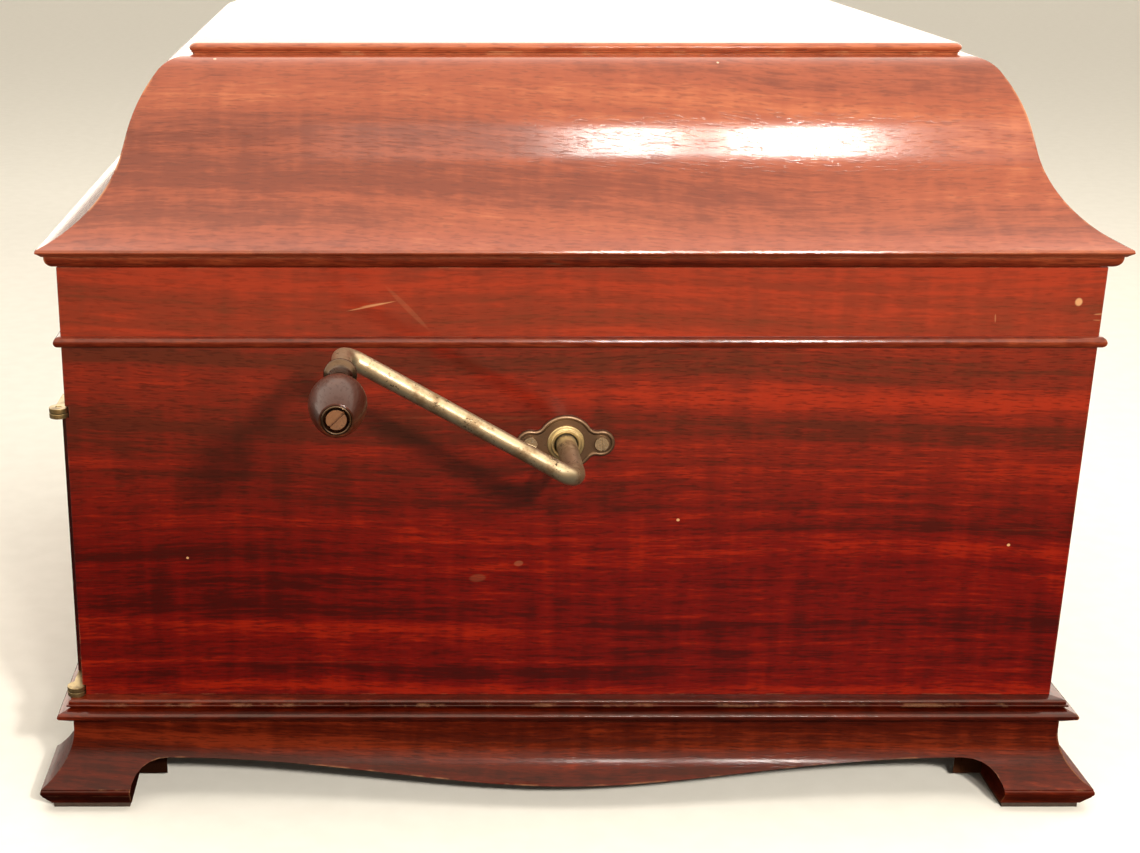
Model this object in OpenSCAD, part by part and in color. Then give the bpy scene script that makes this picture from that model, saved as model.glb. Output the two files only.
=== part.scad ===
// Table-top disc music box with a crank-wound spring motor.
// X runs along the crank side from the doors (-X) to the lid hinges (+X), the crank stands out of -Y.
// Every module below works from the middle of the case; at_case() moves it to the middle of the footprint.

/* [Case] */
// Length of the body along the crank side
body_len = 500; // [490:1:510]
// Depth of the body, from the crank side to the far side
body_dep = 440; // [436:1:450]
// Thickness of the case boards
board_t = 16; // [15:0.5:16.5]
// Height of the bottom edge of the body
body_z = 57; // [57:1:57]
// Height of the top edge of the body
body_top = 283; // [283:1:285]
// Height of the bead moulding
bead_z = 246.3; // [242:0.1:250]

/* [Base] */
// How far the toe of a foot stands out of the body
toe_out = 21.2; // [21:0.1:22]
// How far the neck of the base stands out of the body
neck_out = 4.8; // [4.5:0.1:5]
// Height of the pads under the feet
pad_h = 3; // [2:0.5:4]
// Height of the apron's lowest point
apron_mid_z = 14; // [12:0.5:18]
// Height of the apron's edge beside the feet
apron_end_z = 25; // [23:0.5:28]
// Width of a foot inside the body's corner
foot_in = 25; // [22:1:40]

/* [Lid] */
// Gap between the body and the closed lid
lid_gap = 0.4; // [0.3:0.1:0.5]
// Height of the ogee boards' top
lid_top = 375.5; // [375.5:0.5:376]
// Inset of the cap plate from the body
cap_in = 60; // [58:1:62]
// Thickness of the cap plate
cap_t = 5.7; // [5:0.1:7]

/* [Doors] */
// How far the closed doors stand out of the body
door_proud = 5; // [4:0.5:6]
// Height of the doors' top edge
door_top = 208; // [204:1:208]
// Thickness of a door
door_t = 16; // [15:0.5:16]

/* [Crank] */
// Place of the crank shaft along the body
crank_x = -5; // [-6:1:-4]
// Height of the crank shaft
crank_z = 195; // [195:1:195]
// Distance from the shaft to the handle
crank_throw = 124; // [110:1:130]
// How far the arm's middle stands out of the body
arm_out = 54; // [50:1:60]
// Rise of the arm above the horizontal, in degrees
crank_rise = 29.5; // [0:0.5:60]
// Radius of the crank rod
rod_r = 3.9; // [3.5:0.1:3.9]
// Radius of the bends' middle line
bend_r = 9; // [8:0.5:12]
// Length of the wooden knob
knob_len = 51.5; // [45:0.5:55]
// Largest radius of the knob
knob_r = 11.9; // [11:0.1:13]

/* [Movement] */
// Radius of the tune disc
disc_r = 177.8; // [177:0.1:179]
// Height of the tune disc's middle
disc_z = 266; // [266:1:266]
// Radius of the ring of drive holes
drive_r = 170; // [170:1:170]
// Drive holes in the disc
drive_holes = 120; // [120:1:120]
// Teeth on the drive sprocket
sprocket_teeth = 10; // [10:1:10]
// Star wheels, one to a pair of comb teeth
star_count = 36; // [20:1:36]
// Distance between star wheels
star_pitch = 3.4; // [3.2:0.1:3.4]

/* [Hidden] */
$fn = 64;
slack = 0.3;                                  // space between parts that pass each other
run_fit = 0.05;                               // radial clearance of a running fit
knob_out = 45;                                // from the crank's arm to the start of the knob
collar_out = 30;                              // and to the collar behind the knob
crank_reach = arm_out + knob_out + knob_len;  // from the crank side to the end of the knob
case_y = (crank_reach - toe_out) / 2;         // puts the origin in the middle of the footprint
half_len = body_len / 2;
half_dep = body_dep / 2;
side_in = half_dep - board_t;                 // inner face of the crank side and far side boards
end_in = half_len - board_t;                  // inner face of the front and back boards
mitre_out = 30;                               // how far the mitre planes reach out of the body
mitre_in = 82;                                // and into it

// Base
neck_top = 44.5;                              // top of the base boards
base_t = 14;                                  // base boards behind the body's face line
cove_r = 30;                                  // hollow of the feet
cove_z = 39.5;                                // height of the hollow's middle
haunch_w = 19;                                // rounding of the opening beside a foot
haunch_h = 14;

// Lid
rim_z = body_top + lid_gap;                   // underside of the lid
board_z = 289.2;                              // underside of the ogee boards
lid_inner_z = 363.5;                          // underside of the lid's top board
lid_axis_x = half_len + 5.5;                  // hinge pins behind the case
lid_axis_z = body_top + lid_gap / 2;
lid_hinge_y = [-130, 130];
knuckle_r = 3.4;
knuckle_len = 60;
pin_r = 1.5;
leaf_t = 1.6;
stay_r = 150;                                 // quadrant stay, centred on the hinge pins
stay_y = 191;
stay_t = 2.5;

// Doors
door_x = -half_len - door_proud;              // outer face of the closed doors
door_gap = 0.5;
door_w = side_in - 0.8;                       // from the middle of the case to the hinge edge
door_axis_x = -half_len - 3.2;
door_axis_y = half_dep - 0.6;                 // distance of the door pins from the middle
door_rail = 30;
plate_t = 2.4;                                // one plate of a pivot hinge
plate_r = 4.6;
plate_gap = 0.3;
door_bottom = body_z + 2 * plate_t + plate_gap;
rail_z = door_top + 2 * plate_t + plate_gap;  // underside of the board over the doors
door_z = [door_bottom, door_top];
// Heights at which the side boards are cut round the door pins
pivot_notch_z = [[body_z - 1, door_bottom + slack], [door_top - slack, rail_z + slack]];

// Crank
arm_y = -half_dep - arm_out;
knob_y = arm_y - knob_out;                    // where the knob starts
knob_end_y = knob_y - knob_len;
spindle_r = 3;
bush_r = 5.65;
sleeve_r = 5.3;                               // the shaft thickens where it enters the bush
collar_len = knob_out - collar_out - 0.3;

// Movement
bed_z = 243.5;                                // underside of the bedplate
bed_top = 248.5;
disc_x = crank_x;
disc_t = 1;
gear_x = crank_x;
sprocket_r = drive_r * sprocket_teeth / drive_holes;
sprocket_z = disc_z - sprocket_r;
front_plate_y = [-200, -197];
back_plate_y = [-100, -97];
plate_x = [-62, 104];
plate_z = [138, bed_z];
pillar_places = [[-54, 148], [95, 148], [-54, 235], [95, 235]];
great_teeth = 94;
drive_teeth = 20;
great_m = 2 * (sprocket_z - crank_z) / (great_teeth + drive_teeth);
great_y = [-192, -189];
drum_y = [-189, -135];
drum_r = 38.5;
arbor_r = 6;
second_teeth = 14;
second_wheel_teeth = 48;
third_teeth = 16;
worm_wheel_teeth = 20;
fine_m = 0.8;
second_dir = 90 - 30 * 360 / great_teeth;     // a whole number of teeth round from the drive pinion
second_gap = great_m * (great_teeth + second_teeth) / 2;
second_x = gear_x + second_gap * cos(second_dir);
second_z = crank_z + second_gap * sin(second_dir);
third_dir = 40;
third_gap = fine_m * (second_wheel_teeth + third_teeth) / 2;
third_x = second_x + third_gap * cos(third_dir);
third_z = second_z + third_gap * sin(third_dir);
worm_r = 3.2;                                 // pitch radius of the two-start worm
worm_x = third_x + fine_m * worm_wheel_teeth / 2 + worm_r;
worm_y = -119.5;
worm_lead = 2 * PI * fine_m;
fly_span = [-26, 46];                         // governor bearings, from the worm wheel's height
star_r = 5.8;
star_z = disc_z - disc_t / 2 - 1.4 - star_r;
star_x0 = disc_x + 42;                        // first star wheel
star_x1 = star_x0 + (star_count - 1) * star_pitch;
comb_t = 2.6;
bar_axis_x = 196;                             // hinge of the pressure bar
bar_z = disc_z + 12;
roller_r = 3.5;
roller_z = disc_z + disc_t / 2 + roller_r + 0.1;
hanger_x = [disc_x + 56, disc_x + 168];       // hangers at the ends of the rollers' arbor
lever_x = -168;
lever_y = -134;
ratchet_teeth = 24;
click_x = crank_x - 30;
click_z = crank_z + 20;

// ---------- helpers ----------

// A pair of numbers, both moved by the same distance
function moved(pair, by) = [for (v = pair) v + by];

module at_case() translate([0, case_y, 0]) children();
module box(x, y, z) translate([x[0], y[0], z[0]]) cube([x[1] - x[0], y[1] - y[0], z[1] - z[0]]);
module rod_x(y, z, x, r) translate([x[0], y, z]) rotate([0, 90, 0]) cylinder(h = x[1] - x[0], r = r);
module rod_y(x, z, y, r) translate([x, y[1], z]) rotate([90, 0, 0]) cylinder(h = y[1] - y[0], r = r);
module rod_z(x, y, z, r) translate([x, y, z[0]]) cylinder(h = z[1] - z[0], r = r);
// An outline drawn in X and Z, given its thickness along Y
module slab_y(y) translate([0, y[1], 0]) rotate([90, 0, 0]) linear_extrude(y[1] - y[0]) children();

// One side of a mitred frame, on the crank side: the outline's x stands out of the body's face
module mitred_side(side_len, face) {
    a = side_len / 2;
    intersection() {
        translate([0, -face, 0]) rotate([90, 0, -90])
            linear_extrude(side_len + 2 * mitre_out, center = true) children();
        linear_extrude(lid_top + 20) polygon([
            [-a - mitre_out, -face - mitre_out], [a + mitre_out, -face - mitre_out],
            [a - mitre_in, -face + mitre_in], [-a + mitre_in, -face + mitre_in]]);
    }
}
// Sides are numbered 0 crank side, 1 back, 2 far side, 3 front
module on_side(k) rotate([0, 0, 90 * k])
    mitred_side(k % 2 == 0 ? body_len : body_dep, k % 2 == 0 ? half_dep : half_len) children();
module mitred_frame() for (k = [0:3]) on_side(k) children();

// Outline of an involute gear, with its first tooth on the x axis
function inv(a) = tan(a) * 180 / PI - a;
function flank(r, rb, half) = half + inv(20) - inv(acos(min(1, rb / r)));
function gear_points(n, m, play) =
    let (rp = n * m / 2, rb = rp * cos(20), ra = rp + m, rf = rp - 1.25 * m,
        half = 90 / n - play / rp * 90 / PI, r0 = max(rb, rf))
    [for (i = [0:n - 1]) each concat(
        [[rf, i * 360 / n - flank(r0, rb, half)]],
        [for (j = [0:4]) let (r = r0 + (ra - r0) * j / 4) [r, i * 360 / n - flank(r, rb, half)]],
        [for (j = [4:-1:0]) let (r = r0 + (ra - r0) * j / 4) [r, i * 360 / n + flank(r, rb, half)]],
        [[rf, i * 360 / n + flank(r0, rb, half)]])];
module gear(n, m, turn = 0, play = 0.16)
    rotate(turn) polygon([for (p = gear_points(n, m, play)) [p[0] * cos(p[1]), p[0] * sin(p[1])]]);
module spokes(r_out, r_in, count, width) difference() {
    circle(r_out);
    circle(r_in);
    for (i = [0:count - 1]) rotate(i * 360 / count) translate([0, -width / 2]) square([r_out + 1, width]);
}

// ---------- case ----------

module side_board(dir) at_case() difference() {
    box([-half_len, half_len], dir < 0 ? [-half_dep, -side_in] : [side_in, half_dep], [body_z, body_top]);
    if (dir < 0) rod_y(crank_x, crank_z, [-half_dep - 1, -side_in + 1], bush_r + 0.6);
    for (z = pivot_notch_z) rod_z(door_axis_x, dir * door_axis_y, z, plate_r + slack);
}
module crank_side_panel() color("#7a1f10") side_board(-1);
module far_side_panel() color("#7a1f10") side_board(1);

module back_panel() color("#74200f") at_case() difference() {
    box([end_in, half_len], [-side_in, side_in], [body_z, body_top]);
    for (y = lid_hinge_y) hinge_notch(y, [body_top - leaf_t, body_top + 1]);
}
module hinge_notch(y, z)
    box([half_len - 14, half_len + 20], [y - knuckle_len / 2, y + knuckle_len / 2], z);

module frieze_rail() color("#7a1f10") at_case()
    box([-half_len, -end_in], [-side_in, side_in], [rail_z, body_top]);

module bead_moulding() color("#6b1a0e") at_case() mitred_frame() intersection() {
    translate([0.5, bead_z]) circle(2.7);
    translate([0, bead_z - 4]) square([4, 8]);
}

module base_moulding() color("#5a160c") at_case() mitred_frame() union() {
    translate([-30, neck_top]) square([34.6, body_z - neck_top]);
    translate([0, neck_top]) polygon([[4, 0], [5.6, 0], [10.4, 3.1], [10.4, 7], [4, 8.6]]);
    translate([9.9, neck_top + 5]) circle(1.9);
    translate([4, neck_top + 9]) square([3.4, 1.1]);
    translate([5, neck_top + 10.9]) circle(1.5);
}

module bottom_board() color("#8a5a34") at_case()
    box([-half_len + 30, half_len - 30], [-half_dep + 30, half_dep - 30], [body_z - 8, body_z]);

// Flaring outline of the base boards: a straight neck, a hollow and a rounded toe
module base_outline() difference() {
    union() {
        polygon([[-base_t, pad_h], [16.3, pad_h], [toe_out - 0.9, 8.6],
            [toe_out - 0.6, 13], [toe_out - 0.6, neck_top], [-base_t, neck_top]]);
        translate([toe_out - 2.3, 10.9]) circle(2.3);
    }
    translate([neck_out + cove_r, cove_z]) circle(cove_r, $fn = 128);
    translate([neck_out, cove_z]) square([40, 20]);
}
function apron_z(t) = apron_mid_z + (apron_end_z - apron_mid_z) * (1 - cos(180 * t)) / 2;
function haunch(a) = [haunch_w * (1 - cos(a)), apron_end_z - haunch_h * (1 - sin(a))];
function opening_points(half) = let (run = half - haunch_w) concat(
    [[-half, -1]],
    [for (a = [0:15:75]) [-half + haunch(a)[0], haunch(a)[1]]],
    [for (i = [0:40]) [run * (i / 20 - 1), apron_z(i / 20 - 1)]],
    [for (a = [75:-15:0]) [half - haunch(a)[0], haunch(a)[1]]],
    [[half, -1]]);
module base_board(k) at_case() difference() {
    on_side(k) base_outline();
    rotate([0, 0, 90 * k]) slab_y([-half_len - mitre_out, -half_dep + mitre_in])
        polygon(opening_points((k % 2 == 0 ? half_len : half_dep) - foot_in));
}
module crank_side_base() color("#4f140b") base_board(0);
module back_base() color("#4f140b") base_board(1);
module far_side_base() color("#4f140b") base_board(2);
module front_base() color("#4f140b") base_board(3);

module at_corners() for (x = [-1, 1], y = [-1, 1])
    translate([x * half_len, y * half_dep, 0]) mirror([x < 0 ? 1 : 0, 0, 0]) mirror([0, y < 0 ? 1 : 0, 0])
        children();
module corner_blocks() color("#9a6a40") at_case() at_corners()
    translate([0, 0, pad_h]) linear_extrude(neck_top - pad_h) polygon([
        [-base_t, -base_t], [-base_t - 26, -base_t], [-base_t, -base_t - 26]]);
module foot_pads() color("#2a1a14") at_case() at_corners()
    box([-foot_in + 1, 15.5], [-foot_in + 1, 15.5], [0, pad_h]);

// Sound opening behind the doors: a board of arched slots
grille_x = [-half_len + 12.5, -half_len + 18.5];
slot_w = 11;
slot_gap = 20;
slots = 9;
module grille() color("#6b1a0e") at_case() difference() {
    box(grille_x, [-side_in, side_in], [body_z, rail_z]);
    for (i = [-slots:slots - 1]) sound_slot((i + 0.5) * slot_gap);
}
module sound_slot(y) {
    rise = 24 * cos(y / side_in * 90);
    z = [body_z + 34 - rise / 2, rail_z - 46 + rise];
    box(grille_x + [-1, 1], [y - slot_w / 2, y + slot_w / 2], z);
    for (end_z = z) rod_x(y, end_z, grille_x + [-1, 1], slot_w / 2);
}
module grille_cloth() color("#8c7a4a") at_case()
    box([grille_x[1], grille_x[1] + 1.2], [-side_in + 2, side_in - 2], [body_z + 6, rail_z - 4]);

module bedplate_rails() color("#9a6a40") at_case() for (x = [-1, 1])
    box(x < 0 ? [-end_in, -end_in + 26] : [end_in - 26, end_in], [-176, 176], [bed_z - 22, bed_z]);

// ---------- lid ----------

// The ogee is drawn as arcs laid end to end, each [radius, heading at its start, heading at its end]
// in degrees below the horizontal; a heading that shrinks makes a hollow arc
ogee_start = [-57.5, lid_top];
round_arcs = [[16, 3, 52], [80, 52, 74]];
hollow_arc = [61, 74, 21];
straight = 9.5;
function arc_end(p, a) = let (s = a[2] > a[1] ? 1 : -1)
    [p[0] + s * a[0] * (sin(a[2]) - sin(a[1])), p[1] + s * a[0] * (cos(a[2]) - cos(a[1]))];
function arc_points(p, a, n) = [for (i = [0:n]) arc_end(p, [a[0], a[1], a[1] + (a[2] - a[1]) * i / n])];
ogee_mid = arc_end(ogee_start, round_arcs[0]);
ogee_low = arc_end(ogee_mid, round_arcs[1]);
ogee_bend = ogee_low + straight * [cos(74), -sin(74)];
ogee_tip = arc_end(ogee_bend, hollow_arc);
ogee_points = concat(
    arc_points(ogee_start, round_arcs[0], 14), arc_points(ogee_mid, round_arcs[1], 8),
    arc_points(ogee_bend, hollow_arc, 18));
module ogee_outline() polygon(concat(ogee_points,
    [ogee_tip + [1, -0.6], ogee_tip + [0.6, -2], [5, board_z],
    [-13, board_z], [-13, 296], [-31, 312], [-39, 330], [-44, 348], [-58, lid_inner_z],
    [-70, lid_inner_z], [-70, lid_top]]));
module lid_board(k) at_case() on_side(k) ogee_outline();
module lid_crank_side() color("#93301a") lid_board(0);
module lid_back() color("#93301a") lid_board(1);
module lid_far_side() color("#93301a") lid_board(2);
module lid_front() color("#93301a") lid_board(3);

module lid_rim() color("#6b1a0e") at_case() difference() {
    mitred_frame() union() {
        translate([-13, rim_z]) square([15, board_z - rim_z]);
        polygon([[0, rim_z], [2.2, rim_z + 0.4], [3.9, rim_z + 1.8], [4.8, rim_z + 3.6],
            [4.8, board_z], [0, board_z]]);
    }
    for (y = lid_hinge_y) {
        hinge_notch(y, [rim_z - 1, rim_z + leaf_t]);
        box([lid_axis_x - knuckle_r - slack, half_len + 20], moved([-1, 1] * (knuckle_len / 2 + slack), y),
            [rim_z - 1, board_z + 1]);
    }
}
// The board that closes the top, and the cap plate with its moulded edge
module lid_cap() color("#8a2a16") at_case() {
    box([-half_len + 70, half_len - 70], [-half_dep + 70, half_dep - 70], [lid_inner_z, lid_top]);
    box([-half_len + cap_in + 1.2, half_len - cap_in - 1.2],
        [-half_dep + cap_in + 1.2, half_dep - cap_in - 1.2], [lid_top, lid_top + 2]);
    box([-half_len + cap_in, half_len - cap_in], [-half_dep + cap_in, half_dep - cap_in],
        [lid_top + 1.6, lid_top + cap_t]);
}

// Butt hinges: the case leaf carries the two outer knuckles, the lid leaf the middle one
knuckle_part = knuckle_len / 3;
module knuckle(y0, y1) difference() {
    union() {
        rod_y(lid_axis_x, lid_axis_z, [y0, y1], knuckle_r);
        children();
    }
    rod_y(lid_axis_x, lid_axis_z, [y0 - 1, y1 + 1], pin_r + run_fit);
}
module case_hinge_leaves() color("#b08d3c") at_case() for (y = lid_hinge_y) {
    box([half_len - 13.6, half_len + 1.4], moved([-0.5, 0.5] * (knuckle_len - slack), y),
        [body_top - leaf_t, body_top]);
    for (s = [-1, 1]) let (a = y + s * knuckle_part, w = knuckle_part / 2 - slack)
        knuckle(a - w, a + w) box([half_len + 1, lid_axis_x], [a - w, a + w], [body_top - leaf_t, body_top]);
    rod_y(lid_axis_x, lid_axis_z, moved([-0.5, 0.5] * knuckle_len, y), pin_r);
}
module lid_hinge_leaves() color("#b08d3c") at_case() for (y = lid_hinge_y) {
    box([half_len - 13.6, half_len + 1.4], moved([-0.5, 0.5] * (knuckle_len - slack), y),
        [rim_z, rim_z + leaf_t]);
    let (w = knuckle_part / 2) knuckle(y - w, y + w)
        box([half_len + 1, lid_axis_x], [y - w, y + w], [rim_z, rim_z + leaf_t]);
}

// Quadrant stay: an arc on the lid that slides through a keeper on the far side board
stay_a = [181, 258];
function stay_at(a, r) = [lid_axis_x + r * cos(a), lid_axis_z + r * sin(a)];
module stay_arc(r0, r1, a, y) slab_y(y) polygon(concat(
    [for (i = [0:27]) stay_at(a[0] + (a[1] - a[0]) * i / 27, r0)],
    [for (i = [27:-1:0]) stay_at(a[0] + (a[1] - a[0]) * i / 27, r1)]));
stay_low_a = 184.5;
stay_tab_x = moved([-14, 14], lid_axis_x - stay_r);
module lid_stay() color("#b08d3c") at_case() {
    stay_arc(stay_r - 5, stay_r + 5, stay_a, [stay_y - stay_t, stay_y]);
    box(stay_tab_x, [stay_y - stay_t, stay_y], [lid_axis_z - 2, lid_axis_z + 10]);
    box(stay_tab_x, [stay_y - stay_t, half_dep - 13], [lid_axis_z + 8, lid_axis_z + 10]);
    box(stay_tab_x, [half_dep - 15.4, half_dep - 13], [lid_axis_z + 2, lid_axis_z + 12]);
}
module stay_keeper() color("#b08d3c") at_case() {
    difference() {
        stay_arc(stay_r - 8, stay_r + 8, [stay_low_a, stay_low_a + 5], [stay_y - stay_t - 2.6, side_in]);
        stay_arc(stay_r - 5.4, stay_r + 5.4, [stay_low_a - 1, stay_low_a + 6],
            [stay_y - stay_t - slack, stay_y + slack]);
    }
}

// ---------- doors ----------

// A door is drawn on the crank half of the front and mirrored for the other half
module on_half(dir) mirror([0, dir > 0 ? 1 : 0, 0]) children();
module door_slab(x, inset) box(x, [-door_w + inset, -door_gap - inset], door_z + [inset, -inset]);
module door() {
    difference() {
        door_slab([door_x, door_x + door_t], 0);
        door_slab([door_x - 1, door_x + door_t + 1], door_rail);
        door_slab([door_x + 4, door_x + 10], door_rail - 6);
    }
    door_slab([door_x + 4.2, door_x + 9.8], door_rail - 5.5);
    door_slab([door_x + 1.2, door_x + 5], door_rail + 14);
}
module door_knob() translate([door_x, -door_gap - door_rail / 2, (door_bottom + door_top) / 2])
    rotate([0, -90, 0]) rotate_extrude() polygon([[0, 0], [5.4, 0], [5.2, 1.4], [2.6, 2.6], [2.4, 5.4],
        [4.6, 7.2], [6.4, 9.4], [6.7, 11.4], [5.8, 13.4], [3.4, 14.8], [0, 15.3]]);
module door_left() color("#7a1f10") at_case() on_half(-1) door();
module door_right() color("#7a1f10") at_case() on_half(1) door();
module door_knob_left() color("#b08d3c") at_case() on_half(-1) door_knob();
module door_knob_right() color("#b08d3c") at_case() on_half(1) door_knob();

// Pivot hinges: flat plates whose arms pass in front of the side board to a pin on the corner
leaf_y = -side_in + 1.2;
module pivot_plate(z, leaf_x) {
    rod_z(door_axis_x, -door_axis_y, [z, z + plate_t], plate_r);
    box([door_x, -half_len - slack], [-door_axis_y, leaf_y + 5], [z, z + plate_t]);
    box(leaf_x, [leaf_y, leaf_y + 26], [z, z + plate_t]);
}
module door_pivots() {
    for (z = [door_bottom - plate_t, door_top]) pivot_plate(z, [door_x, door_x + 12]);
    rod_z(door_axis_x, -door_axis_y, [body_z + slack, door_bottom - 1], pin_r);
    rod_z(door_axis_x, -door_axis_y, [door_top + 1, rail_z - slack], pin_r);
}
module door_pivots_left() color("#b08d3c") at_case() on_half(-1) door_pivots();
module door_pivots_right() color("#b08d3c") at_case() on_half(1) door_pivots();
module case_pivots() color("#a8863a") at_case() for (dir = [-1, 1]) on_half(dir)
    for (z = [body_z, rail_z - plate_t]) difference() {
        pivot_plate(z, [-half_len - 1, -half_len + 11]);
        rod_z(door_axis_x, -door_axis_y, [z - 1, z + plate_t + 1], pin_r + run_fit);
    }

// ---------- crank ----------

// Draws in a frame where the arm points along -X and the shaft is the origin
module at_crank() at_case() translate([crank_x, 0, crank_z]) rotate([0, crank_rise, 0]) children();
module bend(x, y, turn) translate([x, y, 0]) rotate([0, 0, turn])
    rotate_extrude(angle = 90) translate([bend_r, 0]) circle(rod_r);
module crank_arm() color("#a9a294") at_crank() {
    rod_y(0, 0, [-half_dep + 2, -half_dep + 12], rod_r);
    translate([0, arm_y + bend_r, 0]) rotate([-90, 0, 0])
        cylinder(h = arm_out - bend_r + 3, r1 = rod_r, r2 = sleeve_r);
    bend(-bend_r, arm_y + bend_r, -90);
    translate([-crank_throw + bend_r, arm_y, 0]) rotate([0, 90, 0])
        cylinder(h = crank_throw - 2 * bend_r, r = rod_r);
    bend(-crank_throw + bend_r, arm_y - bend_r, 90);
    rod_y(-crank_throw, 0, [arm_y - collar_out, arm_y - bend_r], rod_r);
    rod_y(-crank_throw, 0, [knob_end_y + 6, arm_y - collar_out + 1], spindle_r);
}
module knob_ferrule() color("#4a3420") at_crank() translate([-crank_throw, arm_y - collar_out - 0.3, 0])
    rotate([90, 0, 0]) rotate_extrude() polygon([[spindle_r + run_fit, 0], [5.2, 0], [6.6, 0.7], [7.3, 2.2],
        [7.3, 3.4], [6.5, 4.8], [5.2, 6], [4.6, 8], [4.5, 11], [4.8, collar_len],
        [spindle_r + run_fit, collar_len]]);
// The knob swells from a neck to its widest place and rounds off to its end
knob_wide = 0.59 * knob_len;
knob_neck = 4.6;
function knob_radius(s) = s < knob_wide
    ? knob_neck + (knob_r - knob_neck) * (1 - cos(180 * s / knob_wide)) / 2
    : knob_r * sqrt(1 - 0.69 * pow((s - knob_wide) / (knob_len - knob_wide), 1.4));
module crank_knob() color("#3c1710") at_crank() translate([-crank_throw, knob_y, 0]) rotate([90, 0, 0])
    difference() {
        rotate_extrude() polygon(concat([[0, 0]],
            [for (i = [0:29]) [knob_radius(i / 30 * knob_len), i / 30 * knob_len]],
            [[knob_radius(knob_len) + 0.1, knob_len - 0.6], [knob_radius(knob_len) - 1, knob_len],
            [0, knob_len]]));
        translate([0, 0, -1]) cylinder(h = knob_len + 2, r = spindle_r + run_fit);
        translate([0, 0, knob_len - 5.5]) cylinder(h = 6, r = 5.2);
    }
module knob_screw() color("#b7a56a") at_crank() difference() {
    rod_y(-crank_throw, 0, [knob_end_y + 1.2, knob_end_y + 5.2], 4.15);
    translate([-crank_throw, knob_end_y + 1.7, 0]) rotate([0, -45 - crank_rise, 0])
        cube([12, 2, 1], center = true);
}
ear = 17.5;
head_r = 3.4;
plate_round = 14.25;
ear_round = 6.6;
waist_round = 4;                              // hollow between the plate's middle and an ear
waist_x = (pow(plate_round + waist_round, 2) - pow(ear_round + waist_round, 2) + ear * ear) / (2 * ear);
waist_z = sqrt(pow(plate_round + waist_round, 2) - waist_x * waist_x);
module escutcheon() color("#a9a294") at_case() difference() {
    union() {
        rod_y(crank_x, crank_z, [-half_dep - 1.8, -half_dep], plate_round);
        for (s = [-1, 1]) rod_y(crank_x + s * ear, crank_z, [-half_dep - 1.8, -half_dep], ear_round);
        for (s = [-1, 1]) slab_y([-half_dep - 1.8, -half_dep]) translate([crank_x, crank_z]) difference() {
            polygon([[0, 0], [s * waist_x, waist_z], [s * ear, 0], [s * waist_x, -waist_z]]);
            for (t = [-1, 1]) translate([s * waist_x, t * waist_z]) circle(waist_round);
        }
        translate([crank_x, -half_dep - 1.6, crank_z]) rotate([90, 0, 0])
            rotate_extrude() translate([12.6, 0]) circle(1.4);
    }
    rod_y(crank_x, crank_z, [-half_dep - 4, -half_dep + 1], 9.1 + run_fit);
    for (s = [-1, 1]) rod_y(crank_x + s * ear, crank_z, [-half_dep - 4, -half_dep + 1], 1.9 + run_fit);
}
module escutcheon_screws() color("#b7a56a") at_case() for (s = [-1, 1]) difference() {
    union() {
        rod_y(crank_x + s * ear, crank_z, [-half_dep - 3.2, -half_dep - 1.8], head_r);
        rod_y(crank_x + s * ear, crank_z, [-half_dep - 2, -half_dep], 1.9);
    }
    translate([crank_x + s * ear, -half_dep - 3.2, crank_z]) rotate([0, 50 + 30 * s, 0])
        cube([9, 1.4, 0.9], center = true);
}
module crank_bush() color("#b39a55") at_case() difference() {
    union() {
        rod_y(crank_x, crank_z, [-half_dep - 3.6, -half_dep], 9.1);
        rod_y(crank_x, crank_z, [-half_dep, -half_dep + 6], bush_r + 0.6);
    }
    rod_y(crank_x, crank_z, [-half_dep - 5, -half_dep + 7], bush_r);
}

// ---------- motor ----------

module winding_arbor() color("#8d8d90") at_case() difference() {
    union() {
        rod_y(crank_x, crank_z, [-half_dep + 4, front_plate_y[0] - 0.4], 5.2);
        rod_y(crank_x, crank_z, [front_plate_y[0] - 1, back_plate_y[1] + 2], 4);
        rod_y(crank_x, crank_z, [front_plate_y[1] + 0.4, back_plate_y[0] - 0.4], arbor_r);
        slab_y([front_plate_y[1] + 0.6, great_y[0] - 1]) translate([crank_x, crank_z])
            polygon([for (i = [0:ratchet_teeth - 1]) let (a = i * 360 / ratchet_teeth)
                each [[22 * cos(a), 22 * sin(a)], [19 * cos(a + 2), 19 * sin(a + 2)]]]);
    }
    rod_y(crank_x, crank_z, [-half_dep + 3, -half_dep + 12], rod_r + run_fit);
}
module click() color("#8d8d90") at_case() slab_y([front_plate_y[1] + 0.8, great_y[0] - 1.2]) difference() {
    translate([crank_x, crank_z]) union() {
        translate([-30, 20]) circle(5);
        polygon([[-30, 24.8], [-22, 23], [-11.6, 18.5], [-11.45, 16.6], [-16, 16], [-29.5, 15.1]]);
    }
    translate([click_x, click_z]) circle(2 + run_fit);
}
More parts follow.
